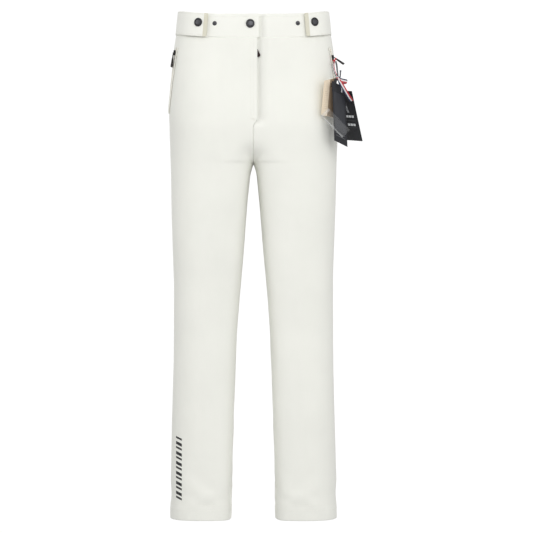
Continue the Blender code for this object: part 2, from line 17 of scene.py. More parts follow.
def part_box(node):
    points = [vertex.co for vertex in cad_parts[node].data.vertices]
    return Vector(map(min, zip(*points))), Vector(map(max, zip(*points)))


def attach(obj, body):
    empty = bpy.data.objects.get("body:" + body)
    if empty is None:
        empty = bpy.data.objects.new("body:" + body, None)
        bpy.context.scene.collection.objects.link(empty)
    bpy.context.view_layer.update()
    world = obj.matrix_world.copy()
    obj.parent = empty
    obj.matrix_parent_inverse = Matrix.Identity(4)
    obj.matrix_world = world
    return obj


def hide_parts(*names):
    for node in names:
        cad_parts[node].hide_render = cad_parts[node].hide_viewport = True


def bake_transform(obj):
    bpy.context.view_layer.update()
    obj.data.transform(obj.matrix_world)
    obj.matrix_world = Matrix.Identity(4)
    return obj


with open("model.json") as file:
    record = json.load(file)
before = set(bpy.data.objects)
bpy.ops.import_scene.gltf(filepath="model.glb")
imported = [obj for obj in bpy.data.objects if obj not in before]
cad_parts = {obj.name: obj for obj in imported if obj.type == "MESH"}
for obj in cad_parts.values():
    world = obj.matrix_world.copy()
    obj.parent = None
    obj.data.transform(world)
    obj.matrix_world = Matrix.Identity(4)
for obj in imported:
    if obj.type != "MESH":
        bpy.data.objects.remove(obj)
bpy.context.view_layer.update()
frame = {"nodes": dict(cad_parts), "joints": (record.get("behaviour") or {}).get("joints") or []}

SIDES = (("left", 1), ("right", -1))

# ---- Driving dimensions, as in the CAD ----
BAND_HEIGHT = 0.048
HEM = 1.030                # drops below the waist opening
CROTCH = 0.310
SADDLE = 0.045
FLY_END = 0.222
FLY_MEETS = 0.236
FLAP_X = 0.008
FLY_JOG = 0.0064
FRONT_DIP = 0.012
BACK_RISE = 0.003
LINING_DEPTH = 0.0120

PANEL_PARTS = ("upper", "knee", "lower")
SHELL_NODES = [f"{face}_panel_{part}" for face in ("front", "back") for part in PANEL_PARTS]


# ---- Materials ----
class Shader:
    """A Principled material with a few helpers for its nodes."""

    def __init__(self, name, roughness, metallic=0.0, **more):
        self.material = bpy.data.materials.new(name)
        self.material.use_nodes = True
        self.tree = self.material.node_tree
        self.shader = self.tree.nodes["Principled BSDF"]
        self.set(self.shader, Roughness=roughness, Metallic=metallic)
        for socket, value in more.items():
            self.shader.inputs[socket.replace("_", " ")].default_value = value
        self.place = self.node("ShaderNodeTexCoord").outputs["Object"]

    def set(self, node, **values):
        for socket, value in values.items():
            node.inputs[socket].default_value = value
        return node

    def node(self, kind, **values):
        made = self.tree.nodes.new(kind)
        for key, value in values.items():
            setattr(made, key, value)
        return made

    def link(self, a, b):
        self.tree.links.new(a, b)

    def mapped(self, turn=(0, 0, 0), stretch=(1, 1, 1)):
        made = self.node("ShaderNodeMapping")
        made.inputs["Rotation"].default_value = turn
        made.inputs["Scale"].default_value = stretch
        self.link(self.place, made.inputs["Vector"])
        return made.outputs["Vector"]

    def noise(self, scale, detail=2.0, place=None):
        made = self.set(self.node("ShaderNodeTexNoise"), Scale=scale, Detail=detail)
        self.link(place or self.place, made.inputs["Vector"])
        return made.outputs["Fac"]

    def wave(self, scale, direction, place=None):
        made = self.node("ShaderNodeTexWave", bands_direction=direction)
        self.set(made, Scale=scale, Distortion=0.0)
        self.link(place or self.place, made.inputs["Vector"])
        return made.outputs["Fac"]

    def maths(self, operation, a, b):
        made = self.node("ShaderNodeMath", operation=operation)
        for socket, value in zip(made.inputs, (a, b)):
            if isinstance(value, (int, float)):
                socket.default_value = value
            else:
                self.link(value, socket)
        return made.outputs["Value"]

    def colour(self, factor, stops):
        """Colours the material by a ramp of (position, colour) stops."""
        made = self.node("ShaderNodeValToRGB")
        elements = made.color_ramp.elements
        for element, (position, colour) in zip(elements, stops):
            element.position = position
            element.color = (*colour, 1)
        self.link(factor, made.inputs["Fac"])
        self.link(made.outputs["Color"], self.shader.inputs["Base Color"])

    def bump(self, height, strength, distance):
        made = self.set(self.node("ShaderNodeBump"), Strength=strength, Distance=distance)
        self.link(height, made.inputs["Height"])
        if self.shader.inputs["Normal"].is_linked:
            self.link(self.shader.inputs["Normal"].links[0].from_socket, made.inputs["Normal"])
        self.link(made.outputs["Normal"], self.shader.inputs["Normal"])


def shade(colour, factor):
    return tuple(min(1.0, part * factor) for part in colour)


def woven(name, colour, thread=0.0006, vary=0.04, roughness=0.78, depth=0.00008, sheen=0.2):
    """A twill of threads this wide, with a slightly uneven dye and fine wrinkles."""
    made = Shader(name, roughness, Sheen_Weight=sheen, Sheen_Roughness=0.5)
    blotch = made.noise(9.0, 3.0)
    made.colour(blotch, ((0.3, shade(colour, 1 - vary)), (0.7, colour)))
    one = made.wave(0.5 / thread, "DIAGONAL")
    other = made.wave(0.5 / thread, "X", made.mapped((0.6, 0.8, 0.9)))
    made.bump(made.maths("ADD", one, made.maths("MULTIPLY", other, 0.6)), 0.35, depth)
    made.bump(made.noise(60.0, 4.0), 0.25, 0.0006)
    return made.material


def plastic(name, colour, roughness=0.42, grain=900.0, shine=0.5):
    made = Shader(name, roughness, Specular_IOR_Level=shine)
    made.colour(made.noise(140.0, 3.0), ((0.35, colour), (0.7, shade(colour, 1.7))))
    made.bump(made.noise(grain, 2.0), 0.3, 0.00006)
    return made.material


def metal(name, colour, roughness=0.32):
    made = Shader(name, roughness, 0.85)
    made.colour(made.noise(500.0, 4.0), ((0.3, colour), (0.75, shade(colour, 1.35))))
    made.bump(made.noise(1500.0, 2.0), 0.15, 0.00003)
    return made.material


def paper(name, colour, roughness, fibre=1.06):
    made = Shader(name, roughness)
    stretched = made.mapped((0, 0, 0.2), (1, 1, 0.25))
    made.colour(made.noise(260.0, 5.0, stretched), ((0.3, colour), (0.7, shade(colour, fibre))))
    made.bump(made.noise(700.0, 3.0), 0.2, 0.00005)
    return made.material


def film(name, cover):
    made = Shader(name, 0.25, IOR=1.45, Alpha=cover)
    made.colour(made.noise(30.0), ((0.3, (0.80, 0.82, 0.82)), (0.7, (0.92, 0.93, 0.93))))
    made.bump(made.noise(45.0, 3.0), 0.6, 0.0012)
    return made.material


WHITE = woven("white_shell_cloth", (0.882, 0.884, 0.822))
BAND_WHITE = woven("white_band_cloth", (0.890, 0.892, 0.832), vary=0.03)
# a beige copy of the band cloth: painted shade on the side tabs' free ends
TAB_END_PAINTED_SHADE = woven("painted_shade_tab_end_cloth", (0.70, 0.68, 0.56), vary=0.05)
GUARD_WHITE = woven("white_guard_cloth", (0.890, 0.892, 0.830), thread=0.0009)
LINER = woven("grey_lining_taffeta", (0.50, 0.51, 0.53), thread=0.0005, roughness=0.5, sheen=0.4)
MESH_LINER = woven("pocket_bag_cloth", (0.60, 0.60, 0.58), thread=0.0009)
TAPE = woven("beige_zip_tape", (0.74, 0.64, 0.50), thread=0.0007, depth=0.00012)
WHITE_TAPE = woven("white_zip_tape", (0.74, 0.74, 0.70), thread=0.0007, depth=0.00012)
THREAD = woven("white_thread", (0.86, 0.85, 0.78), thread=0.0002, depth=0.00005)
BLACK = plastic("black_slider_plastic", (0.010, 0.009, 0.009), 0.35)
RUBBER = plastic("charcoal_pull_rubber", (0.026, 0.022, 0.023), 0.65, 600.0, 0.15)
FLY_RUBBER = plastic("dark_fly_pull_rubber", (0.020, 0.009, 0.010), 0.65, 600.0, 0.2)
GUNMETAL = metal("gunmetal_snap", (0.064, 0.064, 0.070))
# a darker copy of the snap metal: painted shade on the caps' rims, and the eyelets' own dark metal
RIM_SHADE_AND_EYELET_GUNMETAL = metal("gunmetal_eyelet_and_painted_rim_shade", (0.040, 0.040, 0.043), 0.4)
TEETH = plastic("beige_zip_coil", (0.58, 0.49, 0.37), 0.4)
WHITE_TEETH = plastic("white_zip_coil", (0.66, 0.66, 0.62), 0.4)
BLACK_CARD = paper("black_card", (0.0100, 0.0105, 0.0140), 0.65, 1.5)
CREAM_CARD = paper("cream_card", (0.80, 0.68, 0.52), 0.85)
# brown on the cream card: a painted shadow of the narrow black card in front of it
CREAM_TAG_PAINTED_SHADOW = paper("painted_shadow_on_cream_card", (0.28, 0.20, 0.13), 0.85)
TAN_INK = paper("tan_card_ink", (0.62, 0.50, 0.37), 0.85)
WHITE_INK = paper("pale_card_ink", (0.62, 0.64, 0.66), 0.6)
GREY_INK = paper("dim_card_ink", (0.10, 0.105, 0.11), 0.6)
SILVER_INK = paper("silver_card_ink", (0.30, 0.31, 0.33), 0.5)
FILM = film("clear_film", 0.035)
WELD = film("welded_film_edge", 0.14)
INK = plastic("black_leg_print", (0.012, 0.012, 0.013), 0.6)
GLOSS_CARD = paper("glossy_card_panel", (0.020, 0.0215, 0.0270), 0.40, 1.4)
RED = woven("ribbon_red", (0.52, 0.020, 0.035), thread=0.0003, depth=0.00005)
PALE = woven("ribbon_white", (0.78, 0.77, 0.76), thread=0.0003, depth=0.00005)
NAVY = woven("ribbon_navy", (0.012, 0.020, 0.060), thread=0.0003, depth=0.00005)
BLACK_CORD = woven("black_cord", (0.015, 0.014, 0.016), thread=0.0003, depth=0.00005)
GREY_CORD = woven("grey_cord", (0.18, 0.19, 0.20), thread=0.0003, depth=0.00005)
PIN_PLASTIC = plastic("grey_pin_plastic", (0.060, 0.064, 0.075), 0.5, 900.0, 0.2)


# ---- Mesh helpers ----
def rough(*place):
    """Smooth noise between -1 and 1 at a place."""
    return noise.noise(Vector(place))


def linked(name, data):
    """A new object of the scene, with this mesh, curve, light or camera."""
    made = bpy.data.objects.new(name, data)
    bpy.context.scene.collection.objects.link(made)
    return made


def dress(piece, body, slot, *nodes):
    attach(piece, body)
    if nodes:
        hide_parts(*nodes)
    return piece


def finished(name, mesh, *finishes):
    for finish in finishes:
        mesh.materials.append(finish)
    mesh.shade_smooth()
    return linked(name, mesh)


def mesh_piece(name, points, faces, *finishes):
    mesh = bpy.data.meshes.new(name)
    mesh.from_pydata([tuple(point) for point in points], [], faces)
    return finished(name, mesh, *finishes)


def shape_piece(name, shape, finish):
    """A piece from a bmesh, which is freed."""
    mesh = bpy.data.meshes.new(name)
    shape.to_mesh(mesh)
    shape.free()
    return finished(name, mesh, finish)


def cleaned(mesh, weld=0.0, outward=True, place=None):
    """Joins a mesh's doubled points, turns its faces outwards and puts it in its place."""
    shape = bmesh.new()
    shape.from_mesh(mesh)
    if weld:
        bmesh.ops.remove_doubles(shape, verts=shape.verts, dist=weld)
    if outward:
        bmesh.ops.recalc_face_normals(shape, faces=shape.faces)
    if place is not None:
        shape.transform(place)
    shape.to_mesh(mesh)
    shape.free()


def net_faces(rows, columns, flip=False, close=False):
    """The faces of a net of points that are numbered row by row."""
    faces = []
    for r in range(rows - 1):
        for c in range(columns if close else columns - 1):
            after = (c + 1) % columns
            face = (r * columns + c, r * columns + after, (r + 1) * columns + after, (r + 1) * columns + c)
            faces.append(face[::-1] if flip else face)
    return faces


def double_net_faces(rows, columns):
    """The faces of two nets of points, the second turned over, joined all round their rims."""
    count = rows * columns
    faces = net_faces(rows, columns)
    faces += [tuple(count + i for i in face[::-1]) for face in faces]
    rim = list(range(columns)) + [r * columns + columns - 1 for r in range(1, rows)]
    rim += [(rows - 1) * columns + c for c in range(columns - 2, -1, -1)]
    rim += [r * columns for r in range(rows - 2, 0, -1)]
    return faces + [(rim[k], rim[k - 1], count + rim[k - 1], count + rim[k]) for k in range(len(rim))]


def tube_faces(first, rings, sides):
    """The faces of a closed tube of rings of points, which start at the point numbered first."""
    last = first + (rings - 1) * sides
    faces = [tuple(first + i for i in face) for face in net_faces(rings, sides, close=True)]
    return faces + [tuple(first + k for k in range(sides))[::-1], tuple(last + k for k in range(sides))]


def net_piece(name, rows, finish, flip=False, close=False):
    points = [point for row in rows for point in row]
    return mesh_piece(name, points, net_faces(len(rows), len(rows[0]), flip, close), finish)


def modify(piece, kind, **values):
    made = piece.modifiers.new(kind.lower(), kind)
    for key, value in values.items():
        setattr(made, key, value)
    return made


def settled(piece):
    """Applies the piece's modifiers."""
    evaluated = piece.evaluated_get(bpy.context.evaluated_depsgraph_get())
    mesh = bpy.data.meshes.new_from_object(evaluated)
    piece.modifiers.clear()
    piece.data = mesh
    return piece


def merged(name, pieces, finish):
    """Joins mesh pieces that share one material."""
    shape = bmesh.new()
    for piece in pieces:
        shape.from_mesh(piece.data)
        bpy.data.objects.remove(piece)
    return shape_piece(name, shape, finish)


def frame_at(origin, along, up):
    """A frame with X along and Z up."""
    up = up.normalized()
    across = up.cross(along).normalized()
    made = Matrix((across.cross(up), across, up)).transposed().to_4x4()
    made.translation = origin
    return made


WELD_REACH = 0.00001         # points nearer than this are one


def turned(name, profile, place, finish, steps=40):
    """A turned piece from (radius, height) points; the profile runs from the axis outwards and down."""
    points, faces = [], []
    for step in range(steps):
        turn = 2 * math.pi * step / steps
        points += [place @ Vector((radius * math.cos(turn), radius * math.sin(turn), height))
                   for radius, height in profile]
    count = len(profile)
    for step in range(steps):
        after = (step + 1) % steps
        faces += [(step * count + i, step * count + i + 1, after * count + i + 1, after * count + i)
                  for i in range(count - 1)]
    made = mesh_piece(name, points, faces, finish)
    cleaned(made.data, WELD_REACH, outward=False)
    return made


def slab(name, size, place, finish, rounding):
    """A block with rounded edges."""
    shape = bmesh.new()
    bmesh.ops.create_cube(shape, size=1, matrix=place @ Matrix.Diagonal((*size, 1)))
    bmesh.ops.bevel(shape, geom=shape.edges[:], offset=rounding, segments=3, affect="EDGES", profile=0.5)
    return shape_piece(name, shape, finish)


def run_along(points):
    """How far along a route each of its points is."""
    if isinstance(points, np.ndarray):
        steps = np.linalg.norm(np.diff(points, axis=0), axis=1)
    else:
        steps = [(b - a).length for a, b in zip(points, points[1:])]
    return np.concatenate(((0,), np.cumsum(steps)))


def read_along(run, values, at):
    """A vector at a distance along a route, from its values at the route's points."""
    return Vector([np.interp(at, run, [value[axis] for value in values]) for axis in range(3)])


def smooth_route(points, spacing):
    """A smooth curve through the points, as points one spacing apart (Catmull-Rom)."""
    points = [Vector(p) for p in points]
    ends = [points[0] * 2 - points[1]] + points + [points[-1] * 2 - points[-2]]
    dense = []
    for a, b, c, d in zip(ends, ends[1:], ends[2:], ends[3:]):
        for step in range(20):
            t = step / 20
            dense.append((b * 2 + (c - a) * t + (a * 2 - b * 5 + c * 4 - d) * t ** 2
                          + (b * 3 - a - c * 3 + d) * t ** 3) / 2)
    dense.append(points[-1])
    run = run_along(dense)
    stops = np.linspace(0, run[-1], max(2, round(run[-1] / spacing)) + 1)
    columns = [np.interp(stops, run, [p[axis] for p in dense]) for axis in range(3)]
    return [Vector(p) for p in zip(*columns)]


STITCH, STITCH_GAP, STITCH_RADIUS = 0.0026, 0.0009, 0.00032
STITCH_SHARES = (0.0, 0.15, 0.5, 0.85, 1.0)
STITCH_SIDES = 5
BARTACK_GAP = 0.0001       # a bartack's stitches are packed close


def stitch_row(name, route, normals, radius=STITCH_RADIUS, length=STITCH, gap=STITCH_GAP):
    """A row of lockstitches along a route on the cloth; each dips into the cloth at both ends."""
    run = run_along(route)
    turns = [2 * math.pi * k / STITCH_SIDES for k in range(STITCH_SIDES)]
    points, faces = [], []
    start = 0.0
    while start + length < run[-1]:
        faces += tube_faces(len(points), len(STITCH_SHARES), STITCH_SIDES)
        for share in STITCH_SHARES:
            at = start + share * length
            outward = read_along(run, normals, at).normalized()
            along = (read_along(run, route, at + 1e-4) - read_along(run, route, at - 1e-4)).normalized()
            across = outward.cross(along).normalized()
            bulge = radius * (0.45 + 0.55 * math.sin(math.pi * min(1, max(0, share * 0.8 + 0.1))))
            middle = read_along(run, route, at) + outward * radius * (1.1 * math.sin(math.pi * share) - 0.5)
            points += [middle + (across * math.cos(turn) + outward * math.sin(turn)) * bulge
                       for turn in turns]
        start += length + gap
    return mesh_piece(name, points, faces, THREAD)


# ---- The outline, read from the CAD ----
def tree(pieces, flip=False):
    """A search tree of the pieces' faces, mirrored to the other side if flip."""
    shape = bmesh.new()
    for piece in pieces:
        shape.from_mesh(piece.data)
    if flip:
        shape.transform(Matrix.Diagonal((-1, 1, 1, 1)))
    made = BVHTree.FromBMesh(shape)
    shape.free()
    return made


# Read from the right side, which has no underlap at the fly
OUTLINE = tree([frame["nodes"][f"right_{node}"] for node in SHELL_NODES], flip=True)
REACH = 0.5                # how far rays look
NUDGES = [Vector((0, 0, 0))] + [Vector((across, 0, up)) for up in (0, -0.0012, 0.0012, -0.004, -0.008)
                                for across in (0.0011, -0.0011)]


def cast(origin, way):
    """Where a level ray meets the outline; one that slips through a seam is tried again beside it."""
    origin, way = Vector(origin), Vector(way)
    aside = Vector((-way.y, way.x, 0))
    for nudge in NUDGES:
        start = origin + aside * nudge.x + Vector((0, 0, nudge.z))
        distance = OUTLINE.ray_cast(start, way, REACH)[3]
        if distance is not None:
            return origin + way * distance
    return None


def touch(middle, angle, z):
    """Where the outline is met from outside, at an angle from middle; 0 is outwards, -90 the front."""
    way = Vector((math.cos(angle), math.sin(angle), 0))
    return cast(Vector((middle, 0, z)) + way * REACH, -way)


def sloped(drop, forward):
    """Height of a point of the row at this drop; forward is 1 in front, 0 at the side and -1 behind."""
    share = 1 - min(1, max(0, (drop - BAND_HEIGHT) / (FLY_MEETS - BAND_HEIGHT)))
    return -drop - share * (FRONT_DIP * max(0, forward) ** 2 - BACK_RISE * max(0, -forward) ** 2)


CENTRE_STEP = 0.0010       # rays along the centre line are cast this far to the side of it
RAYS = 25                  # in each quarter
JOIN = 0.0005              # rows less than this above the crotch no longer join the legs
APEX = 0.0010              # and rows less than this below it still start on the centre line


def section(drop, columns):
    """One side's outline at a drop: columns per quarter, from the inner edge by the front, side and back."""
    z = -drop
    outer = cast((REACH, 0, z), (-1, 0, 0)).x
    joined = drop < CROTCH - JOIN
    inner = 0.0 if drop < CROTCH + APEX else cast((0, 0, z), (1, 0, 0)).x
    middle = (inner + outer) / 2
    front = abs(touch(middle, -math.pi / 2, sloped(drop, 1)).y)
    back = abs(touch(middle, math.pi / 2, sloped(drop, -1)).y)

    def meet(angle):
        forward = -math.sin(angle)
        for _ in range(3):
            found = touch(middle, angle, sloped(drop, forward))
            forward = -found.y / (front if found.y < 0 else back)
        return found

    if joined:
        ahead = cast((CENTRE_STEP, -REACH, sloped(drop, 1)), (0, 1, 0)).y
        behind = cast((CENTRE_STEP, REACH, sloped(drop, -1)), (0, -1, 0)).y
        first, last = math.atan2(ahead, -middle), math.atan2(behind, -middle)
    else:
        first, last = -math.pi, math.pi
    stretches = ((first, -math.pi / 2), (-math.pi / 2, 0), (0, math.pi / 2), (math.pi / 2, last))
    row = []
    for start, end in stretches:
        path = [None if joined and angle in (first, last) else meet(angle)
                for angle in np.linspace(start, end, RAYS)]
        if joined and start == first:
            path[0] = Vector((0, ahead, sloped(drop, -ahead / front)))
        if joined and end == last:
            path[-1] = Vector((0, behind, sloped(drop, -behind / back)))
        if not joined and drop < CROTCH + APEX and (start == first or end == last):
            path[0 if start == first else -1] = Vector((0, 0, z))
        run = run_along(path)
        spaced = [read_along(run, path, stop) for stop in np.linspace(0, run[-1], columns + 1)]
        row += spaced if not row else spaced[1:]
    return row


QUARTER = 10               # columns in each quarter of a leg
SIDE_SEAM = 2 * QUARTER
LAST = 4 * QUARTER
ROW = 0.0105


def row_drops():
    top = BAND_HEIGHT + 0.0008
    saddle_top = CROTCH - SADDLE
    upper = list(np.linspace(top, saddle_top, round((saddle_top - top) / ROW) + 1))
    saddle = [CROTCH - SADDLE * (1 - math.sin(turn)) for turn in np.linspace(0, math.pi / 2, 9)[1:]]
    below = [CROTCH + step for step in (0.0025, 0.008, 0.016)]
    lower = list(np.linspace(CROTCH + 0.026, HEM - 0.0006, round((HEM - CROTCH - 0.026) / ROW) + 1))
    return upper + saddle + below + lower


DROPS = row_drops()


class Net:
    """The whole shell as one coarse welded net: each corner knows its column and its row."""

    def __init__(self):
        half = [section(drop, QUARTER) for drop in DROPS]
        self.points, self.index = [], {}
        for r, row in enumerate(half):
            joined = DROPS[r] < CROTCH - JOIN
            apex = abs(DROPS[r] - CROTCH) < JOIN
            for name, side in SIDES:
                for c, point in enumerate(row):
                    key = (name, r, c)
                    if c in (0, LAST) and (joined or apex) and side < 0:
                        self.index[key] = self.index[("left", r, 0 if apex else c)]
                    elif c == LAST and not joined:
                        self.index[key] = self.index[(name, r, 0)]
                    else:
                        self.index[key] = len(self.points)
                        self.points.append((side * point.x, point.y, point.z))
        self.points = np.array(self.points)
        self.faces, self.corners, self.panels = [], [], []
        for number, (name, side) in enumerate(SIDES):
            for r in range(len(DROPS) - 1):
                for c in range(LAST):
                    face = [(r, c), (r + 1, c), (r + 1, c + 1), (r, c + 1)]
                    if side < 0:
                        face.reverse()
                    ids = [self.index[(name, *corner)] for corner in face]
                    if len(set(ids)) < 3:
                        continue
                    kept = [k for k in range(4) if ids[k] != ids[k - 1]]
                    self.faces.append([ids[k] for k in kept])
                    self.corners.append([face[k] for k in kept])
                    self.panels.append(2 * number + (c >= SIDE_SEAM))

    def piece(self):
        made = mesh_piece("net", self.points, self.faces)
        layer = made.data.uv_layers.new(name="net")
        flat = [corner for corners in self.corners for corner in corners]
        layer.data.foreach_set("uv", [value for r, c in flat for value in (c, r)])
        made.data.polygons.foreach_set("material_index", self.panels)
        for _ in range(4):
            made.data.materials.append(WHITE)
        return made

    def calm(self, rounds, drop=None, reach=None):
        """Smooths out the CAD's facets without shrinking the garment, everywhere or near one drop."""
        pairs = np.array(sorted({tuple(sorted((face[k], face[k - 1])))
                                 for face in self.faces for k in range(len(face))}))
        count = np.bincount(pairs.ravel(), minlength=len(self.points))
        fixed = [self.index[(name, r, c)] for name, _ in SIDES for r in (0, len(DROPS) - 1)
                 for c in range(LAST + 1)]
        free = np.ones(len(self.points))
        free[fixed] = 0
        if drop:
            free *= np.exp(-((self.points[:, 2] + drop) / reach) ** 2)
        for factor in (0.5, -0.52) * rounds:
            total = np.zeros_like(self.points)
            np.add.at(total, pairs[:, 0], self.points[pairs[:, 1]])
            np.add.at(total, pairs[:, 1], self.points[pairs[:, 0]])
            self.points += (free * factor)[:, None] * (total / count[:, None] - self.points)


# ---- The shell: four panels cut from one settled net ----
HOLD = 0.15                # the least weight that holds a point
HELD_TOP, HELD_FADE = 0.016, 0.05          # all held down to here from the band, then less and less
GIVE = 0.0022              # the cloth settles by less than this
SETTLE_FRAMES = 20
CLOTH = {"quality": 6, "mass": 0.25, "tension_stiffness": 40, "compression_stiffness": 12,
         "shear_stiffness": 8, "bending_stiffness": 3, "air_damping": 6, "pin_stiffness": 1.0,
         "use_pressure": True, "uniform_pressure_force": 0.3, "shrink_min": -0.006,
         "vertex_group_mass": "held"}


def hang(piece):
    """Lets the cloth settle, a little inflated, held at the waist and at the hems; no point moves far."""
    before = np.array([vertex.co for vertex in piece.data.vertices])
    held = piece.vertex_groups.new(name="held")
    low = min(vertex.co.z for vertex in piece.data.vertices)
    for vertex in piece.data.vertices:
        from_waist = -vertex.co.z - BAND_HEIGHT - HELD_TOP
        from_hem = vertex.co.z - low
        weight = 1 - min(1, max(0, min(from_waist, from_hem) / HELD_FADE))
        held.add([vertex.index], max(weight, HOLD), "REPLACE")
    cloth = modify(piece, "CLOTH").settings
    for key, value in CLOTH.items():
        setattr(cloth, key, value)
    cloth.effector_weights.gravity = 0.3
    scene = bpy.context.scene
    for step in range(1, SETTLE_FRAMES + 1):
        scene.frame_set(step)
    settled(piece)
    scene.frame_set(1)
    moved = np.array([vertex.co for vertex in piece.data.vertices]) - before
    far = np.linalg.norm(moved, axis=1)[:, None]
    for vertex, place in zip(piece.data.vertices, before + moved * GIVE / (GIVE + far)):
        vertex.co = place


class Panel:
    """One panel of the shell as a bmesh, whose vertices know their column, row and outward direction."""

    def __init__(self, name, mesh, number):
        self.name = name
        self.shape = bmesh.new()
        self.facts = {}
        layer = mesh.uv_layers["net"].data
        made = {}
        for polygon in mesh.polygons:
            if polygon.material_index != number:
                continue
            corners = []
            for loop_index in polygon.loop_indices:
                index = mesh.loops[loop_index].vertex_index
                if index not in made:
                    source = mesh.vertices[index]
                    vertex = self.shape.verts.new(source.co)
                    column, row = layer[loop_index].uv
                    self.facts[vertex] = (column, row, source.normal.copy())
                    made[index] = vertex
                corners.append(made[index])
            self.shape.faces.new(corners)
        self.shape.verts.ensure_lookup_table()

    def edges(self, chosen):
        """The open edges whose both ends have this (column, row)."""
        return [edge for edge in self.shape.edges if edge.is_boundary
                and all(chosen(*self.facts[vertex][:2]) for vertex in edge.verts)]

    def inward(self, vertex):
        """The direction into the panel along the cloth, from one of its open edges."""
        total = Vector()
        for edge in vertex.link_edges:
            if not edge.is_boundary:
                total += (edge.other_vert(vertex).co - vertex.co).normalized()
        return total.normalized()

    def extrude(self, edges, shift):
        """Adds a strip beyond these edges; shift gives each new point from its old one. Returns its edges."""
        olds = {vertex: self.facts[vertex] for edge in edges for vertex in edge.verts}
        ways = {vertex: self.inward(vertex) for vertex in olds}
        made = {old: self.shape.verts.new(shift(old, ways[old], *facts)) for old, facts in olds.items()}
        for old, new in made.items():
            self.facts[new] = self.facts[old]
        fresh = []
        for edge in edges:
            a, b = edge.verts
            loop = edge.link_loops[0]
            if loop.vert == a:
                a, b = b, a
            self.shape.faces.new((a, b, made[b], made[a]))
            fresh.append(self.shape.edges.get((made[a], made[b])))
        return fresh

    def move(self, rule):
        """rule gives each vertex's new place from its place, column, row and outward direction."""
        for vertex, facts in self.facts.items():
            vertex.co = rule(vertex.co, *facts)

    def piece(self):
        return shape_piece(self.name, self.shape, WHITE)


def smooth_step(value):
    value = min(1.0, max(0.0, value))
    return value * value * (3 - 2 * value)


def fly_share(drop):
    return float(np.interp(drop, (FLY_END, FLY_MEETS), (1, 0)))


def drop_of(row):
    return float(np.interp(row, range(len(DROPS)), DROPS))


SEAM_HALF = 0.0005         # half the width of the line between two sewn panels
SEAM_DEPTH = 0.0020
COLUMN = 0.0095            # about the width of a column
PUFF, PUFF_AT = 0.00035, 0.004     # the cloth swells by this much, this far from a seam
FLY_EDGE_X = 0.0035
FLY_STEP_FROM, FLY_STEP_TO = 0.034, 0.008      # the fly's step is spread wider than in the CAD
FLAP_STEPS = 4
HEM_FOLD, HEM_TURNED_UP = 0.0018, 0.022        # how thick the hem's fold is, and how far it goes up inside
NEAR = 0.01                # columns and rows nearer than this are the same one
FLAP_END = FLY_MEETS + 0.002
UP = Vector((0, 0, 1))


def relief(point, column, row, outward):
    """Swelling beside the seams, and the long soft unevenness of padded cloth."""
    beside = min(abs(column), abs(column - SIDE_SEAM), abs(column - LAST)) * COLUMN
    from_hem = HEM - drop_of(row)
    x, y, z = point
    lift = PUFF * (beside / PUFF_AT) * math.exp(1 - beside / PUFF_AT) if beside > 0 else 0.0
    pucker = math.exp(-beside / 0.007) * 0.00022 * rough(z * 130, column, 3.0)
    gather = math.exp(-from_hem / 0.03) * 0.0003 * rough(x * 60, y * 60, 9.0)
    soft = 0.0011 * rough(x * 14, y * 14, z * 7)
    fine = 0.00025 * rough(x * 60, y * 60, z * 28)
    return point + outward * (lift + pucker + gather + soft + fine)


def sew_edges(panel, chosen):
    """The edge stops short of the seam's line and turns down into it."""
    edges = panel.edges(chosen)
    for vertex in {vertex for edge in edges for vertex in edge.verts}:
        vertex.co += panel.inward(vertex) * SEAM_HALF * 1.2 - panel.facts[vertex][2] * 0.0002
    rim = panel.extrude(edges, lambda v, way, c, r, out: v.co - way * SEAM_HALF - out * 0.0006)
    panel.extrude(rim, lambda v, way, c, r, out: v.co - way * SEAM_HALF * 0.4 - out * SEAM_DEPTH)


def turn_under(panel, edges, depth, height):
    """A folded edge: round the fold, then back inside the cloth by height."""
    rim = panel.extrude(edges, lambda v, way, c, r, out: v.co - way * depth * 0.35 - out * depth * 0.3)
    rim = panel.extrude(rim, lambda v, way, c, r, out: v.co - out * depth * 0.45)
    rim = panel.extrude(rim, lambda v, way, c, r, out: v.co + UP * depth * 0.4 - out * depth * 0.25)
    return panel.extrude(rim, lambda v, way, c, r, out: v.co + UP * height)


def make_fly_flap(panel):
    """The right front runs on past the centre line and covers the fly."""
    edges = panel.edges(lambda c, r: c < NEAR and drop_of(r) <= FLAP_END)

    def onward(vertex, way, column, row, out):
        share = fly_share(-vertex.co.z - FRONT_DIP * 0.2)
        return vertex.co + Vector((FLAP_X / FLAP_STEPS * share, -0.00004 * share, 0))

    for _ in range(FLAP_STEPS):
        edges = panel.extrude(edges, onward)
    edges = panel.extrude(edges, lambda v, way, c, r, out: v.co + Vector((0.0002, 0.0003, 0)))
    edges = panel.extrude(edges, lambda v, way, c, r, out: v.co + Vector((-0.0002, 0.0005, 0)))
    panel.extrude(edges, lambda v, way, c, r, out: v.co + Vector((-0.0040, 0.0, 0)))


def make_fly_step(panel):
    """The left front steps in under the flap."""
    def step(point, column, row, out):
        share = fly_share(-point.z - FRONT_DIP * 0.2)
        if share <= 0 or column > SIDE_SEAM / 2:
            return point
        depth = FLY_JOG * share * smooth_step((FLY_STEP_FROM - point.x) / (FLY_STEP_FROM - FLY_STEP_TO))
        across = FLY_EDGE_X * share * max(0, 1 - point.x / 0.014)
        return point - out * depth + Vector((across, 0, 0))

    panel.move(step)


CALM_ROUNDS = 8
CROTCH_ROUNDS, CROTCH_REACH = 40, 0.028        # the extra rounds near the crotch


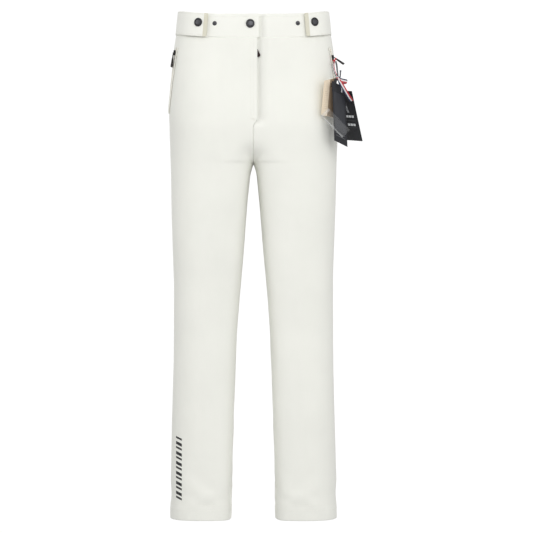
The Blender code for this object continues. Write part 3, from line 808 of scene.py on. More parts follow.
def make_shell():
    net = Net()
    net.calm(CALM_ROUNDS)
    net.calm(CROTCH_ROUNDS, CROTCH, CROTCH_REACH)
    coarse = net.piece()
    hang(coarse)
    modify(coarse, "SUBSURF", levels=2, render_levels=2)
    settled(coarse)
    made = {}
    last_row = len(DROPS) - 1
    for number, name in enumerate(("left_front_panel", "left_back_panel", "right_front_panel",
                                   "right_back_panel")):
        side, face, _ = name.split("_")
        panel = Panel(name, coarse.data, number)
        panel.move(relief)
        if name == "left_front_panel":
            make_fly_step(panel)
        inner = 0 if face == "front" else LAST
        open_to = FLAP_END if name == "right_front_panel" else 0
        sew_edges(panel, lambda c, r: abs(c - SIDE_SEAM) < NEAR)
        sew_edges(panel, lambda c, r: abs(c - inner) < NEAR and drop_of(r) >= open_to)
        if open_to:
            make_fly_flap(panel)
        turn_under(panel, panel.edges(lambda c, r: r > last_row - NEAR), HEM_FOLD, HEM_TURNED_UP)
        top = panel.extrude(panel.edges(lambda c, r: r < NEAR),
                            lambda v, way, c, r, out: v.co + UP * 0.0006 - out * 0.0008)
        panel.extrude(top, lambda v, way, c, r, out: v.co + UP * 0.0050 - out * 0.0022)
        piece = panel.piece()
        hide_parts(*[f"{side}_{face}_panel_{part}" for part in PANEL_PARTS])
        made[name] = piece
    bpy.data.objects.remove(coarse)
    return made


# ---- Things lying on the shell ----
LEG_X = 0.1065             # the middle of a leg at the hem
LEG_REACH = 0.104          # from there: past the cloth, and not as far as the other leg
CLOTH_NUDGES = ((0, 0, 0), (0, 0, 0.002), (0.002, 0, 0), (-0.002, 0, 0), (0, 0.002, 0), (0, -0.002, 0.001))


class Cloth:
    """The finished shell, for pieces that lie on it."""

    def __init__(self, pieces):
        self.tree = tree(pieces)

    def meet(self, origin, way):
        """The cloth's point and outward direction where a ray meets it, tried again beside a seam."""
        way = Vector(way).normalized()
        origin = Vector(origin)
        for nudge in CLOTH_NUDGES:
            place, normal, _, distance = self.tree.ray_cast(origin + Vector(nudge), way, REACH)
            if place is not None and abs(normal.dot(way)) > 0.1:
                return origin + way * distance, normal if normal.dot(way) < 0 else -normal
        raise ValueError(f"no cloth at {origin} along {way}")

    def front(self, x, z):
        return self.meet((x, -0.3, z), (0, 1, 0))

    def round_leg(self, side, z, angle):
        """The cloth round one leg; 0 looks outwards and -90 degrees forwards on the wearer's left."""
        middle = LEG_X * side
        way = Vector((side * math.cos(angle), math.sin(angle), 0))
        return self.meet(Vector((middle, 0, z)) + way * LEG_REACH, -way)


def sewn(name, body, points, lift=0.0, closed=False, **more):
    """A row of stitches through (point, outward) pairs on the cloth."""
    if closed:
        points = points + points[:1]
    route = [place + outward * lift for place, outward in points]
    dress(stitch_row(name, route, [outward for _, outward in points], **more), body, "shell_fabric")


FLY_ROWS = (-0.0055, 0.0006)               # the fly's two rows of topstitching, across
FLY_CURVE_TOP = 0.200                      # where the outer row starts to curve in to the centre
FLY_CURVE_IN = 0.0115                      # how far in the curve comes
TOPSTITCH_STEP = 0.004                     # between the points that the stitches follow


def make_fly_stitching(cloth):
    top = BAND_HEIGHT + 0.004
    for number, x in enumerate(FLY_ROWS):
        end = FLY_END - 0.004 if number else FLY_CURVE_TOP
        start = -top - FRONT_DIP * 0.8
        heights = np.linspace(start, -end, round((start + end) / TOPSTITCH_STEP) + 1)
        sewn(f"fly_stitches_{number + 1}", "trousers", [cloth.front(x, z) for z in heights])
    turn_radius = FLY_MEETS - FLY_CURVE_TOP - 0.008
    curve = [(FLY_ROWS[0] + (1 - math.cos(turn)) * FLY_CURVE_IN,
              -FLY_CURVE_TOP - math.sin(turn) * turn_radius) for turn in np.linspace(0, math.pi / 2, 12)]
    sewn("fly_curve_stitches", "trousers", [cloth.front(*place) for place in curve])
    bar = [cloth.front(x, -FLY_END - 0.002) for x in np.linspace(-0.0070, 0.0050, 9)]
    sewn("fly_bartack", "trousers", bar, lift=0.0002, radius=0.00055, length=0.0011, gap=BARTACK_GAP)


HEM_ROWS = (0.0310, 0.0205)                # heights of the two rows of stitches over the hem


def make_hem_stitching(cloth):
    angles = np.linspace(0, 2 * math.pi, 121)[:-1]
    for name, side in SIDES:
        for number, height in enumerate(HEM_ROWS):
            ring = [cloth.round_leg(side, -HEM + height, angle) for angle in angles]
            sewn(f"{name}_hem_stitches_{number + 1}", f"{name}_shin", ring, closed=True, gap=0.0007)


def patch(name, grid, thickness, finish):
    """A closed patch over a grid of (point, outward) pairs, this thick on either side of it."""
    points = [place + outward * way for way in (-thickness, thickness)
              for line in grid for place, outward in line]
    made = mesh_piece(name, points, double_net_faces(len(grid), len(grid[0])), finish)
    cleaned(made.data)
    made.data.set_sharp_from_angle(angle=math.radians(50))
    return made


PRINT_BARS = 13
PRINT_TOP, PRINT_END = 0.861, 0.991        # drops between which the leg print runs
PRINT_X = (-0.1560, -0.1440)
PRINT_HEIGHTS = (0.40, 0.62)               # shares of the pitch that the bars take by turns
PRINT_SLANT = 0.0050
PRINT_LIFT = 0.00012


def make_leg_print(cloth):
    """A plain ladder of slanted bars down the outside of the right shin."""
    pitch = (PRINT_END - PRINT_TOP) / PRINT_BARS
    bars = []
    for number in range(PRINT_BARS):
        top = PRINT_TOP + pitch * number
        height = pitch * PRINT_HEIGHTS[number % 2]
        grid = [[cloth.front(PRINT_X[0] + across * (PRINT_X[1] - PRINT_X[0]),
                             -top - PRINT_SLANT * across - share * height) for share in (0, 0.5, 1)]
                for across in np.linspace(0, 1, 7)]
        bars.append(patch(f"bar_{number}", grid, PRINT_LIFT, INK))
    dress(merged("leg_print", bars, INK), "right_shin", "black_plastic")


GUARD_TOP = 0.960
GUARD_WRAP = 0.040
GUARD_LIFT = 0.0003
GUARD_THICK = 0.0005
GUARD_PRESSED = (0.35, 0.7)        # shares of the lift at the guard's edge and one point in from it
GUARD_INSET = 2                    # points from the edge to the stitches


def make_scuff_guards(cloth):
    """A coarse patch round the inseam of each hem, stitched down along its sides and its top."""
    stops = np.linspace(-GUARD_WRAP, GUARD_WRAP, 25)
    last = len(stops) - 1
    for name, side in SIDES:
        grid = []
        for drop in np.linspace(GUARD_TOP, HEM - 0.0008, 14):
            found = [cloth.round_leg(side, -drop, angle)
                     for angle in np.linspace(math.pi * 0.45, math.pi * 1.55, 61)]
            places = np.array([place for place, _ in found])
            facing = np.array([outward for _, outward in found])
            run = run_along(places)
            run -= np.interp(0.0, places[::-1, 1], run[::-1]) if places[0, 1] > places[-1, 1] \
                else np.interp(0.0, places[:, 1], run)
            line = []
            for column, stop in enumerate(stops):
                inside = min(column, last - column, len(grid))
                rise = (GUARD_LIFT + GUARD_THICK) * (GUARD_PRESSED[inside] if inside < 2 else 1)
                outward = read_along(run, facing, stop).normalized()
                line.append((read_along(run, places, stop) + outward * rise, outward))
            grid.append(line)
        made = patch(f"{name}_scuff_patch", grid, GUARD_THICK / 2, GUARD_WHITE)
        dress(made, f"{name}_shin", "shell_fabric", f"{name}_scuff_guard")
        border = [(r, GUARD_INSET) for r in range(len(grid) - 1, 0, -1)]
        border += [(1, c) for c in range(GUARD_INSET + 1, last + 1 - GUARD_INSET)]
        border += [(r, last - GUARD_INSET) for r in range(2, len(grid))]
        sewn(f"{name}_guard_stitches", f"{name}_shin", [grid[r][c] for r, c in border], lift=GUARD_THICK / 2)


# ---- Linings and gaiters ----
def inner_rows(drops, depth):
    """Rows of one leg's tube, this deep inside the outline."""
    rows = []
    for drop in drops:
        row = section(drop, 7)
        inset = depth(drop)
        closed = (row[0] - row[-1]).length < 0.001
        moved = []
        for i, place in enumerate(row):
            before = row[i - 1] if i else (row[-2] if closed else row[0])
            after = row[i + 1] if i + 1 < len(row) else (row[1] if closed else row[-1])
            along = after - before
            outward = Vector((along.y, -along.x, 0)).normalized()
            moved.append(place - outward * inset)
        rows.append(moved)
    return rows


def thickened(piece, thickness, levels):
    modify(piece, "SOLIDIFY", thickness=thickness, offset=-1)
    modify(piece, "SUBSURF", levels=levels, render_levels=levels)
    settled(piece)


def mirrored(rows, side):
    return [[Vector((side * place.x, place.y, place.z)) for place in row] for row in rows]


LINING_TOP = BAND_HEIGHT + 0.004
LINING_END = 0.850
GAITER_TOP, GAITER_END = 0.836, 0.999
GAITER_DEPTH, CUFF_DEPTH = 0.0150, 0.0250
ELASTIC_WAVES = 34
GATHER_TOP = 0.955         # from here down the gaiters are gathered by their elastic
LINER_WAVE = 0.0012


def make_linings():
    drops = [*np.linspace(LINING_TOP, 0.262, 9), 0.281, 0.2975, CROTCH + 0.0015, 0.322,
             *np.linspace(0.345, LINING_END, 18)]
    rows = inner_rows(drops, lambda drop: LINING_DEPTH)
    for name, side in SIDES:
        made = net_piece(f"{name}_lining_tube", mirrored(rows, side), LINER, flip=side < 0)
        thickened(made, 0.0006, 1)
        for vertex in made.data.vertices:
            place = vertex.co
            away = Vector((place.x - side * 0.1, place.y, 0)).normalized()
            vertex.co = place + away * LINER_WAVE * rough(place.x * 22, place.y * 22, place.z * 9)
        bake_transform(made)
        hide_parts(f"{name}_lining")


def make_gaiters():
    def depth(drop):
        share = smooth_step((drop - GAITER_TOP) / (GAITER_END - GAITER_TOP))
        return GAITER_DEPTH + (CUFF_DEPTH - GAITER_DEPTH) * share

    rows = inner_rows(np.linspace(GAITER_TOP, GAITER_END, 17), depth)
    for name, side in SIDES:
        made = net_piece(f"{name}_gaiter_skirt", mirrored(rows, side), LINER, flip=side < 0)
        thickened(made, 0.0007, 2)
        for vertex in made.data.vertices:
            place = vertex.co
            gather = smooth_step((-place.z - GATHER_TOP) / 0.030)
            turn = math.atan2(place.y, side * place.x - LEG_X)
            way = Vector((side * math.cos(turn), math.sin(turn), 0))
            vertex.co = place - way * LINER_WAVE * gather * (1 - math.cos(turn * ELASTIC_WAVES))
        dress(made, f"{name}_shin", "lining_fabric", f"{name}_snow_gaiter")


# ---- The waistband, its tabs and its snaps ----
BAND_DEPTH = 0.0010
WAIST_OUT = (0.153, 0.158)                 # half width at the top and at the bottom of the band
WAIST_FRONT = (0.088, 0.0910)
WAIST_BACK = (0.090, 0.096)
LOBE_X = (0.050, 0.0553)
ROUNDNESS = 2.4
TAB_HINGE_X, TAB_END_X = -0.030, 0.012     # the front tab
UNDERLAP_JOG = 0.0055
UNDERLAP_FROM, UNDERLAP_RISE = 0.003, 0.014


PAST_FRONT = 0.05          # a side's line starts this far past the centre front


class Waist:
    """One side of the waist at a drop; runs are measured from the centre front."""

    made = {}

    def __init__(self, drop):
        share = drop / BAND_HEIGHT
        out, front, back, lobe = (low + share * (high - low)
                                  for low, high in (WAIST_OUT, WAIST_FRONT, WAIST_BACK, LOBE_X))
        turns = np.linspace(math.pi / 2, -math.pi / 2, 121)
        reach = np.abs(np.cos(turns)).clip(1e-9) ** (2 / ROUNDNESS)
        depth = np.sign(np.sin(turns)) * np.abs(np.sin(turns)) ** (2 / ROUNDNESS)
        x = lobe + (out - lobe) * reach
        y = np.where(depth > 0, -front * depth, -back * depth)
        self.points = np.vstack(((-PAST_FRONT, -front), np.column_stack((x, y)), (0.0, back)))
        self.run = run_along(self.points) - PAST_FRONT
        tangent = np.gradient(self.points, axis=0)
        tangent /= np.linalg.norm(tangent, axis=1)[:, None]
        self.normals = np.column_stack((tangent[:, 1], -tangent[:, 0]))
        self.side_run = float(np.interp(0.0, self.points[:, 1], self.run))
        self.end = float(self.run[-1])
        forward = (-self.points[:, 1] / front).clip(0)
        backward = (self.points[:, 1] / back).clip(0)
        self.z = -drop - FRONT_DIP * forward ** 2 + BACK_RISE * backward ** 2

    @classmethod
    def at_drop(cls, drop):
        key = round(drop, 6)
        if key not in cls.made:
            cls.made[key] = cls(key)
        return cls.made[key]

    def place(self, side, run, depth):
        x, y = (float(np.interp(run, self.run, self.points[:, axis])) for axis in range(2))
        normal = Vector([np.interp(run, self.run, self.normals[:, axis]) for axis in range(2)]).normalized()
        z = float(np.interp(run, self.run, self.z))
        return Vector((side * (x - normal.x * depth), y - normal.y * depth, z))


def run_at(x):
    """The run at a distance from the centre line, at the front of the waist."""
    curve = Waist.at_drop(BAND_HEIGHT / 2)
    front = curve.run < curve.side_run
    return float(np.interp(x, curve.points[front, 0], curve.run[front]))


SHADED_END_COLUMNS = 7           # the first columns of a strip, about 8 mm, which carry its second finish: painted shade on the side tabs' free ends


class Strip:
    """A flat strip round the waist, sewn double, with rolled edges; an end is cut round or runs on flush."""

    def __init__(self, place, length, top, bottom, depth, thick, corner=0.0015, creases=(0.006,), flush=()):
        self.place, self.length, self.top, self.bottom = place, length, top, bottom
        self.depth, self.thick, self.corner, self.creases = depth, thick, corner, creases
        self.flush = flush

    def columns(self):
        edge = [0, 0.0002, 0.0006, 0.0012, 0.0022, 0.0036, 0.0055]
        inner = np.linspace(0.0080, self.length - 0.0080, max(2, round((self.length - 0.016) / 0.0040)))
        return edge + [float(v) for v in inner] + [self.length - v for v in edge[::-1]]

    def stations(self, height):
        edge = [0, 0.0002, 0.0005, 0.0010, 0.0018, 0.0030, 0.0042]
        crease = [c + step for c in self.creases for step in (-0.0009, -0.0004, 0, 0.0004, 0.0009)]
        inner = list(np.linspace(0.0085, height - 0.0075, 9))
        return sorted(edge + crease + inner + [height - v for v in edge])

    def half(self, from_edge):
        roll = self.thick * 0.75
        if from_edge >= roll:
            return self.thick / 2
        return self.thick / 2 * math.sqrt(max(0.0, 1 - (1 - from_edge / roll) ** 2))

    def row(self, at):
        """One closed loop round the strip, at a distance from its start."""
        height = self.bottom - self.top
        from_end = min([self.length] + [reach for end, reach in (("start", at), ("end", self.length - at))
                                        if end not in self.flush])
        inside = max(0.0, self.corner - from_end)
        cut = self.corner - math.sqrt(max(0.0, self.corner ** 2 - inside ** 2))
        front, back = [], []
        for station in self.stations(height):
            drop = self.top + cut + station * (height - 2 * cut) / height
            half = self.half(min(station, height - station, from_end))
            crown = 0.00035 * math.sin(math.pi * station / height)
            crease = sum(0.00035 * math.exp(-((station - c) / 0.0006) ** 2) for c in self.creases)
            waver = 0.00022 * rough(at * 90, station * 60, self.length)
            middle = self.depth(at, drop)
            swell = (crown - crease + waver) * (half > 0)
            front.append(self.place(at / self.length, drop, middle - half - swell))
            back.append(self.place(at / self.length, drop, middle + half))
        return front + back[::-1]

    def piece(self, name, *finishes):
        rows = [self.row(at) for at in self.columns()]
        made = net_piece(name, rows, finishes[0], close=True)
        # a second finish on the first columns, by the strip's start: painted shade on the side tabs' ends
        if len(finishes) > 1:
            made.data.materials.append(finishes[1])
            around = len(rows[0])
            for polygon in made.data.polygons:
                polygon.material_index = int(polygon.index // around < SHADED_END_COLUMNS)
        cleaned(made.data, 2 * WELD_REACH)
        made.data.shade_smooth()
        return made

    def stitches(self, name, body, from_top, from_low, start=0.002, end=0.002):
        """Rows of stitches on the outer face, this far from the strip's top and from its bottom."""
        count = max(3, round((self.length - start - end) / TOPSTITCH_STEP))
        stops = np.linspace(start, self.length - end, count)
        for row, drop in (("top", self.top + from_top), ("low", self.bottom - from_low)):
            points = []
            for at in stops:
                share = at / self.length
                depth = self.depth(at, drop) - self.thick / 2 + 0.00015
                here = self.place(share, drop, depth)
                outward = (self.place(share, drop, depth - 0.001) - here).normalized()
                points.append((here, outward))
            sewn(f"{name}_{row}_stitches", body, points)


def along_waist(side, start, end):
    """Placing by the share of the way from one run to another, given as functions of the drop."""
    def place(share, drop, depth):
        return Waist.at_drop(drop).place(side, start(drop) + share * (end(drop) - start(drop)), depth)
    return place


def behind(share, drop, depth):
    """Placing along the back of the waist, from the left side seam to the right one."""
    curve = Waist.at_drop(drop)
    first = curve.side_run + SEAM_HALF
    run = curve.end - abs(2 * share - 1) * (curve.end - first)
    return curve.place(1 if share < 0.5 else -1, run, depth)


BAND_THICK = 0.0022
BAND_STITCHES = (0.006, 0.0022)            # below the band's top and above its bottom
HINGE_GAP = 0.00004        # either side of the line that the front tab folds along


def underlap(start):
    """The band's depth on the left front, which steps in under the front tab."""
    def depth(at, drop):
        past_tab = start + at - TAB_END_X
        jog = UNDERLAP_JOG * smooth_step(1 - (past_tab - UNDERLAP_FROM) / UNDERLAP_RISE)
        return BAND_DEPTH + BAND_THICK / 2 + jog
    return depth


def make_waistband():
    middle = Waist.at_drop(BAND_HEIGHT / 2)
    start = TAB_HINGE_X + 0.004

    def level(at, drop):
        return BAND_DEPTH + BAND_THICK / 2

    def to_seam(drop):
        return Waist.at_drop(drop).side_run - SEAM_HALF

    left = Strip(along_waist(1, lambda drop: start, to_seam), middle.side_run - SEAM_HALF - start,
                 0, BAND_HEIGHT, underlap(start), BAND_THICK)
    right = Strip(along_waist(-1, lambda drop: -TAB_HINGE_X + HINGE_GAP, to_seam),
                  middle.side_run + TAB_HINGE_X - HINGE_GAP - SEAM_HALF, 0, BAND_HEIGHT, level, BAND_THICK,
                  flush=("start",))
    back = Strip(behind, 2 * (middle.end - middle.side_run - SEAM_HALF), 0, BAND_HEIGHT, level, BAND_THICK)
    for name, strip in (("waistband_left", left), ("waistband_right", right), ("waistband_back", back)):
        dress(strip.piece(f"{name}_cloth", BAND_WHITE), "trousers", "shell_fabric", name)
        strip.stitches(name, "trousers", *BAND_STITCHES)


def make_front_tab():
    def depth(at, drop):
        share = at / (TAB_END_X - TAB_HINGE_X)
        return BAND_DEPTH + BAND_THICK / 2 - 0.0008 * smooth_step(share)

    strip = Strip(along_waist(-1, lambda drop: -TAB_HINGE_X - HINGE_GAP, lambda drop: -TAB_END_X),
                  TAB_END_X - TAB_HINGE_X - HINGE_GAP, 0, BAND_HEIGHT, depth, BAND_THICK, flush=("start",))
    dress(strip.piece("front_tab_cloth", BAND_WHITE), "front_tab_flap", "shell_fabric", "front_tab")
    strip.stitches("front_tab", "front_tab_flap", *BAND_STITCHES, end=0.004)


SIDE_TAB_END_X = 0.0950
HARDWARE_SHIFT = 0.006
TAB_SLANT = 0.004
TAB_ROOT_RUN = 0.035
TAB_THICK = 0.0016
TAB_LIFT = 0.0036
TAB_LIFT_FROM, TAB_LIFT_RISE = 0.075, 0.045
TAB_INSET = 0.0005


def make_side_tabs():
    for name, side in SIDES:
        first = run_at(SIDE_TAB_END_X + side * HARDWARE_SHIFT)
        middle_run = Waist.at_drop(BAND_HEIGHT / 2).side_run

        def start(drop):
            return first + TAB_SLANT * drop / BAND_HEIGHT

        def end(drop):
            return Waist.at_drop(drop).side_run + TAB_ROOT_RUN

        def depth(at, drop):
            lift = TAB_LIFT * smooth_step((TAB_LIFT_FROM - at) / TAB_LIFT_RISE)
            return BAND_DEPTH - 0.0004 - TAB_THICK / 2 - lift

        strip = Strip(along_waist(side, start, end), middle_run + TAB_ROOT_RUN - first - TAB_SLANT / 2,
                      TAB_INSET, BAND_HEIGHT - TAB_INSET, depth, TAB_THICK, corner=0.0030,
                      creases=(0.0030, BAND_HEIGHT - 0.0040))
        body = f"{name}_tab_strap"
        # the free end is coloured beige: painted shade where the lifted tab end stands off the band
        made = strip.piece(f"{name}_side_tab_cloth", BAND_WHITE, TAB_END_PAINTED_SHADE)
        dress(made, body, "shell_fabric", f"{name}_side_tab")
        strip.stitches(f"{name}_tab", body, 0.0030, 0.0030, start=0.004)


def disc_frame(node):
    """A frame on the back of a round CAD node, Z pointing outwards."""
    points = np.array([vertex.co for vertex in frame["nodes"][node].data.vertices])
    middle = (points.min(0) + points.max(0)) / 2
    axis = np.linalg.svd(points - points.mean(0), full_matrices=False)[2][2]
    if axis @ (middle * (1, 1, 0)) < 0:
        axis = -axis
    heights = (points - middle) @ axis
    up = Vector(axis)
    return frame_at(Vector(middle) + up * float(heights.min()), Vector((up.y, -up.x, 0)), up)


CAP_RADIUS, CAP_HEIGHT = 0.0088, 0.0022
CAP_RING = ((0.60, 0.70), (0.62, 0.80), (0.68, 0.93), (0.78, 1.0), (0.88, 0.97), (0.96, 0.80), (1.0, 0.50),
            (1.0, 0.18), (0.97, 0.03), (0.90, 0.0), (0.0, 0.0))
CAP_FACE = ((0.0, 0.80), (0.20, 0.795), (0.45, 0.77), (0.585, 0.73), (0.60, 0.69), (0.60, 0.40), (0.0, 0.40))
STUD_PROFILE = ((0.0, 0.0030), (0.0009, 0.00295), (0.0020, 0.0026), (0.0027, 0.0020), (0.0028, 0.0015),
                (0.0025, 0.0011), (0.0030, 0.0009), (0.0040, 0.0008), (0.0045, 0.0005), (0.0044, 0.0001),
                (0.0, 0.0001))


# A stud that a closed snap sits on, and the socket under a cap
CLOSED_STUD = ((0.0, 0.0015), (0.0020, 0.0015), (0.0027, 0.0013), (0.0028, 0.0010), (0.0044, 0.0009),
               (0.0045, 0.0004), (0.0, 0.0001))
SOCKET = ((0.0028, 0.0011), (0.0034, 0.0011), (0.0052, 0.0009), (0.0055, 0.0005), (0.0054, 0.0),
          (0.0029, 0.0), (0.0028, 0.0006), (0.0028, 0.0011))
SNAP_BODIES = {"left_tab": "left_tab_strap", "right_tab": "right_tab_strap", "front_tab": "front_tab_flap"}


def snap_part(name, profile, node, body, finish, *nodes):
    dress(turned(name, profile, disc_frame(node), finish), body, "snap_metal", *nodes)


def make_snaps():
    for name, body in SNAP_BODIES.items():
        cap, stud, socket = (f"{name}_{part}" for part in ("cap", "stud", "socket"))
        ring, face = ([(r * CAP_RADIUS, h * CAP_HEIGHT) for r, h in profile]
                      for profile in (CAP_RING, CAP_FACE))
        # the cap's rim is darker than its face though both are one metal: painted shade
        snap_part(f"{cap}_ring", ring, cap, body, RIM_SHADE_AND_EYELET_GUNMETAL, cap)
        snap_part(f"{cap}_face", face, cap, body, GUNMETAL)
        snap_part(f"{stud}_post", CLOSED_STUD, stud, "trousers", GUNMETAL, stud)
        snap_part(f"{socket}_ring", SOCKET, socket, body, GUNMETAL, socket)
    for name, _ in SIDES:
        spare = f"{name}_spare_stud"
        snap_part(f"{spare}_post", STUD_PROFILE, spare, "trousers", GUNMETAL, spare)


# ---- Zips, sliders and pulls ----
JOINTS = {joint["name"]: joint for joint in frame["joints"]}


def plate(name, outline, thickness, place, finish, rounding=0.0002, holes=()):
    """A flat piece from its outline, with rounded edges and round holes, centred on the frame's plane."""
    curve = bpy.data.curves.new(name, "CURVE")
    curve.dimensions = "2D"
    curve.fill_mode = "BOTH"
    curve.extrude = thickness / 2 - rounding
    curve.bevel_depth = rounding
    curve.bevel_resolution = 2
    curve.offset = -rounding
    rings = [outline]
    for x, y, radius in holes:
        rings.append([(x + radius * math.cos(turn), y + radius * math.sin(turn))
                      for turn in np.linspace(0, 2 * math.pi, 29)[:-1]])
    for ring in rings:
        spline = curve.splines.new("POLY")
        spline.points.add(len(ring) - 1)
        spline.use_cyclic_u = True
        for point, (x, y) in zip(spline.points, ring):
            point.co = (x, y, 0, 1)
    source = linked(name + "_curve", curve)
    mesh = bpy.data.meshes.new_from_object(source.evaluated_get(bpy.context.evaluated_depsgraph_get()))
    bpy.data.objects.remove(source)
    cleaned(mesh, WELD_REACH, place=place)
    mesh.name = name
    mesh.materials.clear()
    mesh.materials.append(finish)
    mesh.shade_smooth()
    mesh.set_sharp_from_angle(angle=math.radians(40))
    return linked(name, mesh)


def rounded(outline, radius, steps=4):
    """The outline with its corners rounded."""
    corners = [Vector(point) for point in outline]
    made = []
    for before, here, after in zip(corners[-1:] + corners[:-1], corners, corners[1:] + corners[:1]):
        come, go = (before - here).normalized(), (after - here).normalized()
        start, end = here + come * radius, here + go * radius
        for step in range(steps + 1):
            t = step / steps
            made.append(tuple(start * (1 - t) ** 2 + here * 2 * t * (1 - t) + end * t ** 2))
    return made


PULL_BACK, PULL_NECK = 0.0006, 0.0065      # how far a pull reaches behind its hinge, and its neck's length


def pull_outline(reach, neck, foot):
    """A zip pull that hangs from its hinge at the origin: a narrow neck, then a rounded foot."""
    corner = foot * 0.3
    half = foot / 2
    right = [(neck / 2, PULL_BACK), (neck / 2, -PULL_NECK * 0.6), (neck * 0.60, -PULL_NECK),
             (neck * 0.70, -reach * 0.40)]
    right += [(half - corner + corner * math.cos(turn), -reach + corner - corner * math.sin(turn))
              for turn in np.linspace(0, math.pi / 2, 6)]
    return right + [(-x, y) for x, y in right[::-1]]


COIL_PROFILE = ((-0.5, 0.25), (-0.42, 0.8), (0.0, 1.0), (0.42, 0.8), (0.5, 0.25))
COIL_SIDES = 6


def coil(name, place, length, width, height, pitch, finish):
    """A zip's coil: rounded loops that lie across it, reaching left and right by turns."""
    points, faces = [], []
    turns = [2 * math.pi * k / COIL_SIDES for k in range(COIL_SIDES)]
    for number in range(int(length / pitch)):
        shift = (0.12 if number % 2 else -0.12) * width
        faces += tube_faces(len(points), len(COIL_PROFILE), COIL_SIDES)
        for across, swell in COIL_PROFILE:
            points += [place(shift + across * width * 0.76,
                             (number + 0.5) * pitch + math.cos(turn) * pitch * 0.46 * swell,
                             height / 2 * (1 + math.sin(turn) * swell)) for turn in turns]
    return mesh_piece(name, points, faces, finish)


FLY_PULL_DOWN, FLY_PULL_DEPTH, FLY_PULL_X = 0.012, 0.0025, 0.002
FLY_PULL_TURN = math.radians(18)           # in the plane of the fly
FLY_DOWN = Vector(JOINTS["fly_slide"]["axis"]).normalized()
FLY_OUT = Vector((1, 0, 0)).cross(-FLY_DOWN).normalized()
FLY_TOP = (Vector(JOINTS["fly_pull_swing"]["pos_m"]) - Vector((FLY_PULL_X, 0, 0))
           - FLY_DOWN * FLY_PULL_DOWN + FLY_OUT * FLY_PULL_DEPTH)
FLY_LENGTH = (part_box("fly_zip_tape")[1].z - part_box("fly_zip_tape")[0].z) / -FLY_DOWN.z


def fly_point(across, down, depth):
    return FLY_TOP + Vector((across, 0, 0)) + FLY_DOWN * down - FLY_OUT * depth


def fly_frame(down, depth):
    return frame_at(fly_point(0.0, down, depth), Vector((1, 0, 0)), FLY_OUT)


def flat_cloth(name, half_width, shift, depth, thickness, finish, ripple=0.0003):
    """A flat piece of cloth in the fly's plane, a little uneven."""
    def place(x, down):
        return fly_point(shift + x, down, depth + ripple * rough(x * 90, down * 60, depth * 900))

    grid = [[(place(x, down), FLY_OUT) for down in np.linspace(0.0004, FLY_LENGTH - 0.0004, 30)]
            for x in np.linspace(-half_width, half_width, 11)]
    return patch(name, grid, thickness / 2, finish)


SLIDER = ((-0.50, 0.28), (-0.40, 0.47), (-0.12, 0.50), (0.12, 0.50), (0.40, 0.47), (0.50, 0.28),
          (0.46, -0.10), (0.38, -0.42), (0.22, -0.50), (-0.22, -0.50), (-0.38, -0.42), (-0.46, -0.10))


FLY_SLIDER, POCKET_SLIDER = (0.0080, 0.0110, 0.0026), (0.0062, 0.0105, 0.0026)      # width, height and depth


def zip_slider(name, size, place, body, node):
    """A slider's two wings with the crown that holds its pull."""
    width, height, depth = size
    outline = rounded([(x * width, y * height) for x, y in SLIDER[::-1]], 0.0004, 2)
    gap = depth * 0.16
    wing = (depth - gap) / 2

    def moved(y, z):
        return place @ Matrix.Translation((0, y, z))

    pieces = [plate(f"{name}_{way}", outline, wing, moved(0, way * (gap + wing) / 2), BLACK, depth * 0.10)
              for way in (1, -1)]
    pieces.append(slab(f"{name}_neck", (width * 0.2, height * 0.45, depth * 0.8), moved(height * 0.2, 0),
                       BLACK, 0.0002))
    pieces.append(slab(f"{name}_crown", (width * 0.36, height * 0.30, 0.0012),
                       moved(height * 0.26, depth / 2 + 0.0004), BLACK, 0.0004))
    dress(merged(name, pieces, BLACK), body, "black_plastic", node)


def make_fly():
    dress(flat_cloth("fly_tape_cloth", 0.0129, 0.0, 0.00875, 0.0006, WHITE_TAPE, 0.00008), "trousers",
          "fly_zip_tape", "fly_zip_tape")
    dress(flat_cloth("fly_shield_cloth", 0.0249, -0.003, 0.0101, 0.0009, LINER), "trousers", "lining_fabric",
          "fly_shield")

    def place(across, down, height):
        return fly_point(across, down + 0.008, 0.0080 - height)

    teeth = coil("fly_coil_teeth", place, FLY_LENGTH - 0.012, 0.0050, 0.0014, 0.0012, WHITE_TEETH)
    dress(teeth, "trousers", "fly_zip_tape", "fly_zip_coil")
    zip_slider("fly_slider_body", FLY_SLIDER, fly_frame(0.009, 0.0048), "fly_runner", "fly_slider")
    hang = frame_at(Vector(JOINTS["fly_pull_swing"]["pos_m"]), Vector((1, 0, 0)), FLY_OUT)
    hang = hang @ Matrix.Rotation(FLY_PULL_TURN, 4, "Z")
    pull = plate("fly_pull_tab", pull_outline(0.027, 0.0045, 0.0100), 0.0010, hang, FLY_RUBBER, 0.0003)
    dress(pull, "fly_puller", "black_plastic", "fly_pull")


ZIP_HALF_WIDTH = 0.0035
POCKET_LENGTH = 0.12795
LEFT_PULL_LIFT = math.radians(50)
PULL_REACHES = {"left": 0.0245, "right": 0.030}
PULL_THICK = 0.0024
GRIPS, GRIPS_TOP, GRIP_STEP = 6, 0.0150, 0.0022      # ribs across the foot, the first this far from its end
PULL_FOOT = ((0.0030, 0.0190), (0.0058, 0.0002), (-0.0058, 0.0002), (-0.0030, 0.0190))   # from its end
SLIDER_START = {"left": 0.017, "right": 0.007}       # middle of each slider, from the top of its zip
SLIDER_HEIGHT, PULL_HEIGHT = 0.0041, 0.0064


